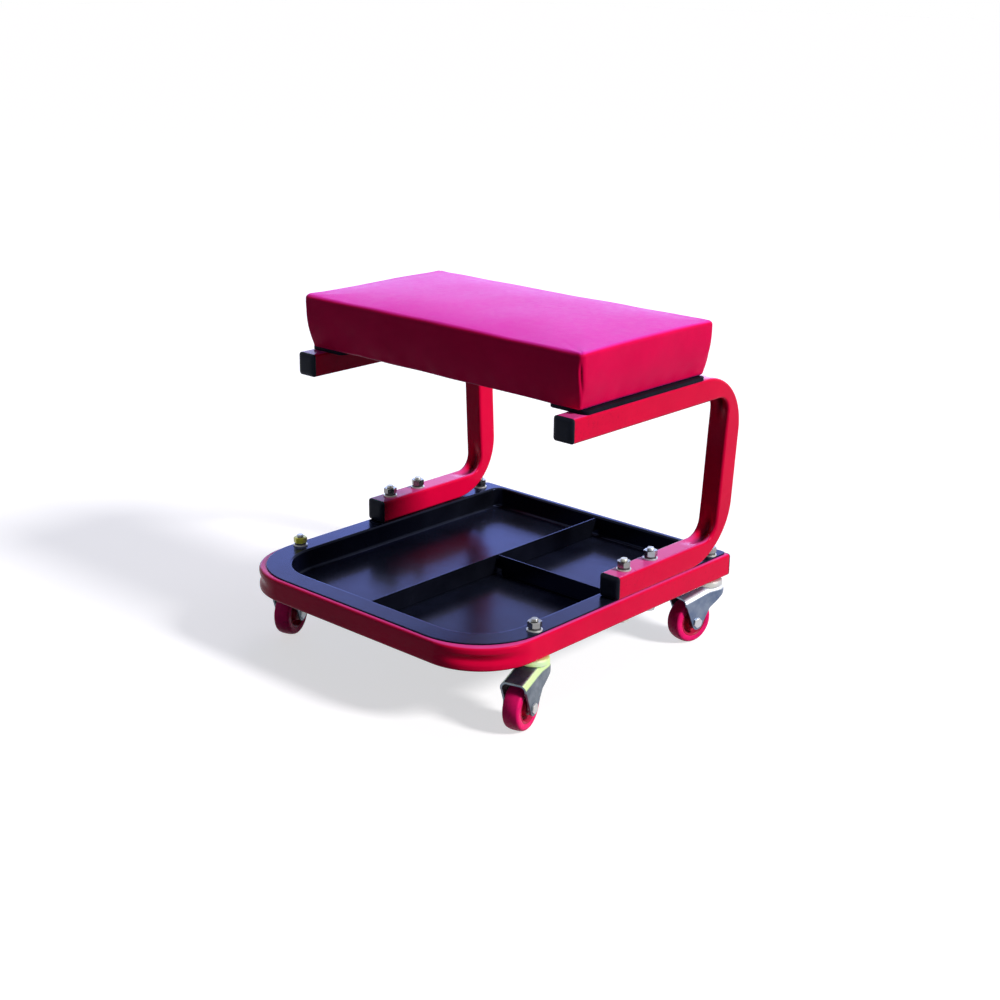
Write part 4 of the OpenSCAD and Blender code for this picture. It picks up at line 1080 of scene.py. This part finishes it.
class WORKSEAT_OT_cushion(bpy.types.Operator):
    """Build the padded seat in its vinyl cover"""
    bl_idname = "workseat.cushion"
    bl_label = "Cushion"

    SLACK = 0.0004  # How far the cover lies outside its CAD node
    TOP = 0.001  # A ring this close below the top belongs to it
    BLUR, BLUR_EDGE = 0.014, 0.03  # Spread of the blur on the top, and the margin over which it fades in
    FRAMES = 20  # Frames of cloth simulation
    PASSES = 18  # Rounds of smoothing after it
    # Depths in metres: waves of the foam, ripples of the sides, pulls of the staples, flaps and gathers of the corners
    WAVE, RIPPLE, TUG, FLAP, GATHER = 0.00022, 0.00028, 0.0005, 0.00045, 0.00032
    STAPLE_GAP = 0.028  # Distance between the pulls

    def ring(self, p, inset, z):
        """The seat's outline at a height, drawn in between its corners."""
        hx, hy = (half - inset + self.SLACK for half in SEAT_HALF)
        r = max(p.corner - inset / 2, p.corner / 3)
        out = []
        for x, y in seat_outline(hx, hy, r):
            qx = x - math.copysign(p.pull, x) * (abs(x) / hx) ** 8 * (1 - (y / hy) ** 2)
            qy = y - math.copysign(p.pull, y) * (abs(y) / hy) ** 8 * (1 - (x / hx) ** 2)
            out.append([qx, qy, z])
        return out

    def rings(self, p):
        """Rings from the lip turned in below, over the rolled edges, to the middle of the top."""
        on_side, on_top = 26, 46
        z0, z1 = SEAT[0].z, self.top
        low, high = z0 + p.roll, z1 - p.edge
        rows = [self.ring(p, p.lip - 0.004 * i, z0) for i in range(4)]
        rows.append(self.ring(p, p.taper + p.roll + 0.002, z0))
        for a in quarter(8):
            rows.append(self.ring(p, p.taper + p.roll * (1 - math.sin(a)), z0 + p.roll * (1 - math.cos(a))))
        for i in range(1, on_side):
            k = i / on_side
            rows.append(self.ring(p, p.taper * (1 - k) ** 2, low + (high - low) * k))
        for a in quarter(10):
            rows.append(self.ring(p, p.edge * (1 - math.cos(a)), high + p.edge * math.sin(a)))
        edge = np.array(rows[-1])
        hx, hy = np.abs(edge[:, 0]).max(), np.abs(edge[:, 1]).max()
        for i in range(1, on_top):
            k = 1 - i / on_top
            x, y = edge[:, 0] * k, edge[:, 1] * k
            rise = p.crown * (1 - (np.abs(x) / hx) ** 3) * (1 - (np.abs(y) / hy) ** 3)
            rows.append(np.stack([x, y, self.top + rise], 1).tolist())
        return rows

    def simulated(self, p, data):
        """Movement of each vertex when the cover swells as cloth under pressure, held below."""
        verts = data[0]
        mesh = new_mesh("Swell", data)
        o = link_new("Swell", mesh)
        held = o.vertex_groups.new(name="Held")
        held.add([i for i, v in enumerate(verts) if v[2] < SEAT[0].z + 0.0005], 1.0, "REPLACE")
        cloth = o.modifiers.new("Cloth", "CLOTH")
        s = cloth.settings
        s.use_pressure, s.uniform_pressure_force = True, p.pressure
        s.effector_weights.gravity = 0.0
        s.quality, s.mass = 6, 0.3
        s.tension_stiffness = s.compression_stiffness = s.shear_stiffness = 60
        s.bending_stiffness = 30
        s.vertex_group_mass = "Held"
        cloth.point_cache.frame_start, cloth.point_cache.frame_end = 1, self.FRAMES
        scene = bpy.context.scene
        for number in range(1, self.FRAMES + 1):
            scene.frame_set(number)
        swelled = o.evaluated_get(bpy.context.evaluated_depsgraph_get())
        vertices = swelled.to_mesh().vertices
        new = read_vectors(vertices, len(vertices), "co")
        swelled.to_mesh_clear()
        scene.frame_set(1)
        bpy.data.objects.remove(o)
        bpy.data.meshes.remove(mesh)
        return new - np.array(verts)

    def evened(self, p, move):
        """Movement of rings of points, capped and smoothed along each ring and from ring to ring."""
        size = np.linalg.norm(move, axis=2, keepdims=True)
        move *= np.minimum(1.0, p.swell / np.maximum(size, TINY))
        for _ in range(self.PASSES):
            move = (2 * move + np.roll(move, 1, axis=1) + np.roll(move, -1, axis=1)) / 4
            move[1:-1] = (2 * move[1:-1] + move[:-2] + move[2:]) / 4
        return move

    def swollen(self, p, co):
        """Swell a light copy, and carry its movement over to the dense rings."""
        every_ring, every_point = 3, 4
        count = len(seat_outline(1, 1, 0.1))
        rows = co[:-1].reshape(-1, count, 3)
        pick = list(range(0, len(rows) - 1, every_ring)) + [len(rows) - 1]
        data = loft(rows[pick][:, ::every_point].tolist(), first=True, last=True)
        move = self.evened(p, self.simulated(p, data).reshape(len(pick), -1, 3))
        # From the light copy's points to the dense ones: along each ring, then from ring to ring
        n = move.shape[1]
        around = np.arange(count) / every_point
        lo = np.floor(around).astype(int) % n
        k = (around - np.floor(around))[None, :, None]
        dense = move[:, lo] * (1 - k) + move[:, (lo + 1) % n] * k
        out = np.zeros_like(rows)
        for i in range(len(rows)):
            j = min(np.searchsorted(pick, i, side="right") - 1, len(pick) - 2)
            k = (i - pick[j]) / (pick[j + 1] - pick[j])
            out[i] = dense[j] * (1 - k) + dense[j + 1] * k
        self.blur_top(rows, out, np.array(data[0]), move.reshape(-1, 3))
        middle = out[-1].mean(axis=0, keepdims=True)
        return np.concatenate([out.reshape(-1, 3), middle])

    def blur_top(self, rows, out, light, move):
        """On the top the rings' corners would show as diagonals, so there the movement is blurred in plan."""
        top = self.top - self.TOP
        flat = light[:, 2] > top
        source, value = light[flat, :2], move[flat]
        edge = np.abs(rows[:, :, :2]).max(axis=(0, 1))
        for i in range(len(rows)):
            if rows[i][:, 2].min() > top:
                apart = ((rows[i][:, None, :2] - source[None]) ** 2).sum(axis=2)
                weight = np.exp(-apart / (2 * self.BLUR ** 2))
                soft = weight @ value / weight.sum(axis=1, keepdims=True)
                k = np.clip((edge - np.abs(rows[i][:, :2])).min(axis=1) / self.BLUR_EDGE, 0, 1)[:, None]
                out[i] = out[i] * (1 - k) + soft * k

    def worked(self, p, co, normals):
        """Creases of the folded corners, pulls of the staples and the soft waves of the foam."""
        hx, hy = SEAT_HALF
        x, y, z = co[:, 0], co[:, 1], co[:, 2]
        tall = np.clip((z - SEAT[0].z) / (self.top - SEAT[0].z), 0, 1)
        side, top = np.clip(1 - np.abs(normals[:, 2]) * 1.15, 0, 1), np.clip(normals[:, 2], 0, 1)
        waves = (np.sin(x * 31 + 1.3) * np.sin(y * 43 + 0.4) + 0.7 * np.sin(x * 57 - y * 39 + 2.1)
                 + 0.5 * np.sin(x * 83 + z * 140 + 0.9))
        move = self.WAVE * waves
        # Ripples between the edges, and pulls at the lower edge, where the staples hold the cover
        along = np.where(np.abs(x) / hx > np.abs(y) / hy, y, x)
        move += side * self.RIPPLE * np.sin(along * 70 + 1.7 * np.sin(z * 60)) * np.sin(tall * math.pi)
        pulls = np.cos(along * 2 * math.pi / self.STAPLE_GAP) + 0.9 * np.sin(along * 61 + 1.1) * np.sin(along * 23)
        move += side * np.exp(-(tall / 0.22) ** 2) * self.TUG * pulls
        for sx in SIDES:
            for sy in SIDES:
                # Crease and flap of a folded corner, and the gathers that run from it over the top
                u, v = hx - sx * x, hy - sy * y
                line = u - 0.0022 - 0.0012 * (1 - tall)
                near = np.exp(-(v / 0.007) ** 2) * side
                fade = np.clip((0.86 - tall) / 0.18, 0, 1)
                crease, flap = np.exp(-(line / 0.0009) ** 2), np.exp(-((line - 0.0028) / 0.002) ** 2)
                move -= p.pleat * crease * near * fade
                move += self.FLAP * flap * near * fade
                apart, angle = np.sqrt(u * u + v * v), np.arctan2(v, u)
                spread, gathers = np.exp(-(apart / 0.045) ** 2), 1 + np.cos(angle * 9 + sx)
                move -= top * self.GATHER * spread * gathers * np.clip(apart / 0.012, 0, 1)
        return co + normals * move[:, None]

    def execute(self, context):
        p = context.scene.workseat_seat
        self.top = SEAT[1].z - p.crown
        verts, faces = loft(self.rings(p), last=True)
        last = faces.pop()
        faces += [(last[i], last[(i + 1) % len(last)], len(verts)) for i in range(len(last))]
        verts.append((0.0, 0.0, SEAT[1].z))
        o = piece("seat_cushion", (verts, faces), FINISHES["vinyl"],
                  stands_for=["seat_cover", "seat_foam"], angle=75)
        mesh = o.data
        co, normals = (read_vectors(mesh.vertices, len(mesh.vertices), name) for name in ("co", "normal"))
        swell = self.swollen(p, co)
        co = self.worked(p, co, normals) + swell
        co[:, 1] += SEAT_Y
        mesh.vertices.foreach_set("co", co.ravel())
        mesh.update()
        self.dust_cloth()
        self.staples(p)
        return {"FINISHED"}

    def dust_cloth(self):
        """Cloth stretched under the board."""
        lo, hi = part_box("dust_cover")
        w, d = hi.x - lo.x, hi.y - lo.y
        nx, ny = 60, 32
        below, sag, ripple = 0.0003, 0.0006, 0.00012
        rows = []
        for j in range(ny + 1):
            row = []
            for i in range(nx + 1):
                x, y = lo.x + w * i / nx, lo.y + d * j / ny
                u, v = i / nx, j / ny
                belly = math.sin(math.pi * u) * math.sin(math.pi * v)
                wave = ripple * math.sin(u * 37 + 3 * v) * math.sin(v * 21)
                row.append((x, y, hi.z - below - sag * belly + wave * belly))
            rows.append(row)
        o = piece("seat_dust_cloth", loft(rows, closed=False), FINISHES["cloth"],
                  stands_for=["dust_cover"])
        thicken(o, 0.0002, 0.0)

    def staples(self, p):
        """Staples that hold the cover along the long sides, between the plates."""
        wide, wire, thick, corner, soft = 0.010, 0.0009, 0.0005, 0.0003, 0.0001
        from_fold, reach, sunk, skew, clear = 0.008, 0.94, 0.0003, 8, 0.006
        hx, hy = (half - p.lip + from_fold for half in SEAT_HALF)
        rows = []
        for s in SIDES:
            for i in range(p.staples):
                x = -hx * reach + 2 * hx * reach * i / (p.staples - 1)
                if abs(x) + clear < PLATE[0].x:
                    place = at(x, SEAT_Y + s * hy, SEAT[0].z - sunk, math.radians(skew * math.sin(5 * i + s)))
                    rows.append(moved(slab(wide, wire, thick, corner, soft, steps=2), place))
        piece("seat_staples", merge(rows), FINISHES["zinc"])


class WORKSEAT_OT_plates(bpy.types.Operator):
    """Build the plates between arms and seat"""
    bl_idname = "workseat.plates"
    bl_label = "Seat Plates"

    def execute(self, context):
        for side in ("left", "right"):
            node = side + "_seat_plate"
            lo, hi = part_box(node)
            w = hi.x - lo.x
            data = slab(w, hi.y - lo.y, hi.z - lo.z, w / 8, 0.0005, lo.z, (lo.x + hi.x) / 2, (lo.y + hi.y) / 2)
            piece(side + "_plate", data, FINISHES["plate"], stands_for=[node], angle=50)
        refinish("seat_board", "wood")
        return {"FINISHED"}


# ---- Casters ----

def between(x, points):
    """Height on a broken line through (x, y) points."""
    return float(np.interp(x, [p[0] for p in points], [p[1] for p in points]))


class WORKSEAT_OT_casters(bpy.types.Operator):
    """Build forks, bearings, axles and wheels of the four casters"""
    bl_idname = "workseat.casters"
    bl_label = "Casters"

    # Side view of a fork in mm: distance from the swivel axis towards the wheel, and height
    CROWN = ((-13, 60), (9, 60), (14, 59.2), (30, 55.4), (43, 52.4))
    CHEEK = ((-13, 54.2), (-9.7, 51.6), (-2.5, 45.8), (8.6, 39.2), (14, 30.5), (18.6, 21.4), (20.2, 19.2), (22.4, 17.6),
             (26, 16.8), (29.2, 17.6), (31.2, 19.6), (33, 23.6), (37, 33.5), (41.4, 44.2), (43, 47.6))
    HEEL, NOSE = -13, 43
    DRAWN_FROM, DRAWN_OVER, DRAWN_IN = -6, 7, 0.0035  # The cheeks draw in towards the heel
    SKIRT = 0.0006  # Least height of a cheek below the fold
    # Turned profiles in metres: radius and height, the upper race's from the base tube's underside
    UPPER_RACE = ((0.0146, -0.004), (0.0146, -0.0058), (0.0149, -0.0062), (0.0156, -0.0062), (0.016, -0.0058),
                  (0.016, -0.0026), (0.0154, -0.001), (0.0142, -0.0002), (0.013, 0.0))
    LOWER_RACE = ((0.0052, 0.0597), (0.0135, 0.0597), (0.0142, 0.0602), (0.0142, 0.0616), (0.0138, 0.0622),
                  (0.0126, 0.0625), (0.0122, 0.0619), (0.0105, 0.0613), (0.0088, 0.0619), (0.0084, 0.0625),
                  (0.0052, 0.0625))
    KINGPIN = ((0.0042, 0.0599), (0.0046, 0.0578), (0.0078, 0.0576), (0.008, 0.057), (0.0074, 0.0558), (0.0052, 0.0552),
               (0.0042, 0.0556), (0.0026, 0.0559))
    THREAD, IN_RACE = 0.0062, 0.0006  # Length of a stem's visible thread, and its reach below the base tube
    WHEEL, PLAY = 0.018, 0.0012  # Width of a wheel, and its play on each side
    TYRE = 0.008  # Height of the tyre over the core
    HUB, BORE, SLEEVE = 0.0085, 0.0044, (0.003, 0.00432)  # Radii of hub, bore and sleeve
    HEAD, NUT, WASHER = 0.66, 0.8, 0.94  # Heights over the axle's diameter, and a washer's width over the flats

    def fork(self, p, width):
        """Folded sheet: a U section at each station from heel to nose."""
        rows = []
        r = p.fold
        stations = sorted({*np.linspace(self.HEEL, self.NOSE, 57), *(c[0] for c in self.CHEEK)})
        for s in stations:
            top = between(s, self.CROWN) / 1000
            low = min(between(s, self.CHEEK) / 1000, top - r - self.SKIRT)
            heel = max(0.0, (self.DRAWN_FROM - s) / self.DRAWN_OVER)
            half = width / 2 - self.DRAWN_IN * heel * heel
            cheek = [(-half, low + (top - r - low) * i / 8) for i in range(9)]
            over = [(-half + r - r * math.cos(a), top - r + r * math.sin(a)) for a in quarter(7)[1:]]
            flat = [(-half + r + (half - r) * i / 4, top) for i in range(1, 5)]
            left = cheek + over + flat
            right = [(-x, z) for x, z in reversed(left[:-1])]
            rows.append([Vector((x, -s / 1000, z)) for x, z in left + right])
        return loft(rows, closed=False)

    def stem(self, p, z_top):
        """Upper race, kingpin head and threaded stem."""
        z = BASE[0].z
        race = [(r, z + h) for r, h in self.UPPER_RACE]
        return merge([
            turn(race, 64, first=True, last=True),
            turn(self.KINGPIN, 40, last=True),
            threaded(p.bolt, p.pitch, z_top - self.THREAD, z_top, Matrix.Identity(4), z - self.IN_RACE),
        ])

    def tread(self, p, radius):
        """Profile of the tyre with rounded edges."""
        w, e, bead = self.WHEEL / 2, p.edge, radius - self.TYRE
        shoulder = radius - e - 0.0006
        half = [(bead, -w + 0.0003), (bead + 0.0004, -w), (shoulder, -w)]
        half += [(shoulder + e * math.sin(a), -w + e - e * math.cos(a)) for a in quarter(10)[1:]]
        half += [(radius - 0.0001, -w * 0.45), (radius, -0.0005)]
        return half + [(radius, 0.0)] + [(r, -z) for r, z in reversed(half)]

    def core(self, radius):
        """Profile of the wheel's core: hub, web and bead."""
        w, hub, bore, bead = self.WHEEL / 2, self.HUB, self.BORE, radius - self.TYRE
        face = [(bore, -w - self.PLAY / 2), (hub - 0.0012, -w - self.PLAY / 2), (hub - 0.0004, -w - self.PLAY / 4),
                (hub, -w + 0.0006), (hub + 0.0007, -0.0042), (hub + 0.0015, -0.0034), (bead - 0.0044, -0.003),
                (bead - 0.0034, -0.0038), (bead - 0.0024, -w + 0.0012), (bead - 0.0016, -w + 0.0003),
                (bead - 0.0006, -w), (bead, -w + 0.0004)]
        return face + [(r, -z) for r, z in reversed(face)]

    def execute(self, context):
        p = context.scene.workseat_caster
        joints = {j["name"]: j for j in frame["joints"]}
        for key, words in CASTERS.items():
            swivel, roll = joints[words + "_swivel"], joints[words + "_roll"]
            axis = Vector(roll["axis"])
            yaw = math.atan2(axis.y, axis.x)
            sx, sy, _ = swivel["pos_m"]
            place = at(sx, sy, 0.0, yaw)
            axle = at(*roll["pos_m"], yaw) @ Matrix.Rotation(math.radians(90), 4, "Y")
            front = key[0] == "f"
            self.upper(p, key, words + "_fork", front, place)
            self.wheel(p, key, words + "_wheel", axle, roll["pos_m"][2])
            self.axle(p, key, words + "_fork", axle)
        return {"FINISHED"}

    def upper(self, p, key, fork, front, place):
        """Stem, fork sheet and bearing."""
        stem = moved(self.stem(p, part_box(key + "_stem")[1].z), place)
        o = hardware(key + "_stem_parts", [stem], [key + "_stem"], "race" if front else "zinc")
        # The end above the tray has the finish of the nuts
        o.data.materials.append(FINISHES["nuts"])
        for face in o.data.polygons:
            face.material_index = int(face.center.z > BASE[1].z)
        sheet = moved(self.fork(p, self.WHEEL + 2 * self.PLAY + 2 * p.sheet), place)
        o = piece(key + "_fork_sheet", sheet, FINISHES["fork_front" if front else "fork_rear"], body=fork,
                  stands_for=[key + "_fork"], angle=40)
        thicken(o, p.sheet)
        bevel(o, 0.0004, 3, 50)
        even_normals(o)
        hardware(key + "_lower_race", [turn(self.LOWER_RACE, 64, place, around=True)], body=fork)
        refinish(key + "_balls", "steel")

    def wheel(self, p, key, body, place, radius):
        """Tyre and core."""
        for name, profile in (("tyre", self.tread(p, radius)), ("core", self.core(radius))):
            piece(f"{key}_{name}_ring", turn(profile, 96, place, around=True), FINISHES[name], body=body,
                  stands_for=[f"{key}_{name}"], angle=40)

    def axle(self, p, key, body, place):
        """Sleeve, bolt with its washer, and nut."""
        inner = self.WHEEL + 2 * self.PLAY
        out, end = inner / 2 + p.sheet, inner / 2 - 0.0001
        near, far = self.SLEEVE
        sleeve = [(near, -end), (far, -end), (far, end), (near, end)]
        piece(key + "_sleeve_tube", turn(sleeve, 32, place, around=True), FINISHES["steel"], body=body,
              stands_for=[key + "_sleeve"], angle=40)
        face, back = place @ at(z=out), place @ FLIP @ at(z=out)
        nut = p.axle * self.NUT
        hardware(key + "_axle_bolt_set", [
            hex_rings(p.axle_flats, p.axle * self.HEAD, False, face @ at(yaw=0.3)),
            washer_data(p.axle_flats * self.WASHER, p.axle, 0.0003, face),
            threaded(p.axle, FINE_PITCH, out + 0.003, out + nut + p.axle / 4, place @ FLIP, -out),
        ], [key + "_axle_bolt"], body=body)
        hardware(key + "_axle_nut_set", [hex_rings(p.axle_flats, nut, True, back, p.axle * 0.5)], [key + "_axle_nut"],
                 body=body)


# ---- Stage ----

def background(tree, plain, shown, output):
    """Light the object as plain, and show the camera, metal and glass the other shader."""
    rays = tree.node("ShaderNodeLightPath").outputs
    seen = tree.math("MAXIMUM", rays["Is Camera Ray"], rays["Is Glossy Ray"])
    seen = tree.math("MAXIMUM", seen, rays["Is Transmission Ray"])
    tree.feed(tree.node(output).inputs[0], tree.join("ShaderNodeMixShader", seen, plain, shown))


class WORKSEAT_OT_stage(bpy.types.Operator):
    """Build the floor, the lamps, the world and the camera"""
    bl_idname = "workseat.stage"
    bl_label = "Stage"

    # The camera, worked out from the frame's straight edges: angles in degrees, lens in mm and place in metres
    AZIMUTH, RISE, ROLL = 42.13, 18.51, 0.74
    LENS, SENSOR = 58.359, 36.0
    CAMERA = (1.12387, -1.21783, 0.71553)
    # The key light: strength, angle of its disc in degrees, where it comes from, and tint
    SUN, SUN_ANGLE, SUN_FROM, SUN_TINT = 3.35, 12, (0.80, 0.22, 0.56), (1.0, 0.97, 0.96)
    # Name, place, aim, width, height, watts, tint and how much of it glossy surfaces show
    LAMPS = (
        ("Sky", (-2.12, 2.12, 0.63), (0, 0, 0.63), 3.8, 1.26, 40, (0.3, 0.45, 1.0), 1.0),
        ("Top", (0.2, 0.9, 2.4), (0, 0, 0.2), 1.6, None, 15, (0.95, 0.86, 1.0), 0.25),
        ("Fill", (-1.6, -2.2, 1.4), (0, 0, 0.2), 1.6, None, 1.5, (0.82, 0.92, 2.0), 1.0),
    )
    FLOOR = 20.0  # Half of the floor's width

    def light(self, name, kind, place, back, **values):
        """Lamp at a place, with its back towards a direction."""
        data = bpy.data.lights.new(name, kind)
        for key, value in values.items():
            setattr(data, key, value)
        o = link_new(name, data)
        o.location, o.rotation_mode = place, "QUATERNION"
        o.rotation_quaternion = back.to_track_quat("Z", "Y")

    def lights(self):
        """A sun from the right, a cool wide lamp at the back left, and two weak ones."""
        key = Vector(self.SUN_FROM)
        self.light("Key", "SUN", key * 2, key, energy=self.SUN, angle=math.radians(self.SUN_ANGLE), color=self.SUN_TINT)
        for name, place, aim, width, tall, power, tint, gloss in self.LAMPS:
            shape = {"shape": "RECTANGLE", "size_y": tall} if tall else {"shape": "DISK"}
            self.light(name, "AREA", place, Vector(place) - Vector(aim), size=width, energy=power, color=tint,
                       specular_factor=gloss, **shape)

    def camera(self, scene):
        """The photograph's view."""
        az, el, roll = (math.radians(a) for a in (self.AZIMUTH, self.RISE, self.ROLL))
        back = Vector((math.sin(az) * math.cos(el), -math.cos(az) * math.cos(el), math.sin(el)))
        right = Vector((0, 0, 1)).cross(back).normalized()
        up = back.cross(right)
        c, s = math.cos(roll), math.sin(roll)
        x, y = right * c + up * s, up * c - right * s
        data = bpy.data.cameras.new("Camera")
        data.lens, data.sensor_width = self.LENS, self.SENSOR
        data.clip_start, data.clip_end = 0.05, 100.0
        o = link_new("Camera", data)
        o.matrix_world = at(*self.CAMERA) @ Matrix((x, y, back)).transposed().to_4x4()
        scene.camera = o

    def floor(self):
        """Floor that takes the object's shadow and is white behind it."""
        s = self.FLOOR
        mesh = new_mesh("Floor", ([(-s, -s, 0), (s, -s, 0), (s, s, 0), (-s, s, 0)], [(0, 1, 2, 3)]))
        link_new("Floor", mesh)
        m = bpy.data.materials.new("Pale floor")
        tree = Tree(m)
        tree.nodes.clear()
        plain = tree.join("ShaderNodeBsdfDiffuse", (0.12, 0.12, 0.12))
        bright = tree.join("ShaderNodeBsdfDiffuse", (0.6, 0.6, 0.6))
        glow = tree.node("ShaderNodeEmission", Strength=0.62).outputs[0]
        background(tree, plain, tree.join("ShaderNodeAddShader", bright, glow), "ShaderNodeOutputMaterial")
        mesh.materials.append(m)

    def world(self, scene):
        """Weak cool light from all round, and white behind the object."""
        scene.world = bpy.data.worlds.new("Studio")
        tree = Tree(scene.world)
        tree.nodes.clear()
        soft = tree.join("ShaderNodeBackground", (0.62, 0.7, 1.0), 0.07)
        white = tree.join("ShaderNodeBackground", (1, 1, 1), 1.0)
        background(tree, soft, white, "ShaderNodeOutputWorld")

    def execute(self, context):
        scene = context.scene
        scene.view_settings.view_transform = "Standard"
        self.camera(scene)
        self.floor()
        self.world(scene)
        self.lights()
        return {"FINISHED"}


class WORKSEAT_PT_panel(bpy.types.Panel):
    """Lists the pieces of the work seat"""
    bl_idname = "WORKSEAT_PT_panel"
    bl_label = "Work Seat"
    bl_space_type = "VIEW_3D"
    bl_region_type = "UI"
    bl_category = "Work Seat"

    def draw(self, context):
        for group in GROUPS:
            box = self.layout.box()
            settings = getattr(context.scene, group)
            for key in settings.__annotations__:
                box.prop(settings, key)
        for operator in OPERATORS:
            self.layout.operator(operator.bl_idname)


GROUPS = {
    "workseat_tube": WORKSEAT_PG_tube,
    "workseat_tray": WORKSEAT_PG_tray,
    "workseat_seat": WORKSEAT_PG_seat,
    "workseat_caster": WORKSEAT_PG_caster,
    "workseat_finish": WORKSEAT_PG_finish,
}
OPERATORS = (WORKSEAT_OT_stage, WORKSEAT_OT_base, WORKSEAT_OT_legs, WORKSEAT_OT_caps, WORKSEAT_OT_tray,
             WORKSEAT_OT_dividers, WORKSEAT_OT_fasteners, WORKSEAT_OT_plates, WORKSEAT_OT_cushion, WORKSEAT_OT_casters)


def register():
    for cls in (*GROUPS.values(), *OPERATORS, WORKSEAT_PT_panel):
        bpy.utils.register_class(cls)
    for name, cls in GROUPS.items():
        setattr(bpy.types.Scene, name, PointerProperty(type=cls))


def unregister():
    for name in GROUPS:
        delattr(bpy.types.Scene, name)
    for cls in reversed((*GROUPS.values(), *OPERATORS, WORKSEAT_PT_panel)):
        bpy.utils.unregister_class(cls)


def main():
    register()
    finishes()
    for operator in OPERATORS:
        group, name = operator.bl_idname.split(".")
        getattr(getattr(bpy.ops, group), name)()


if __name__ == "__main__":
    main()
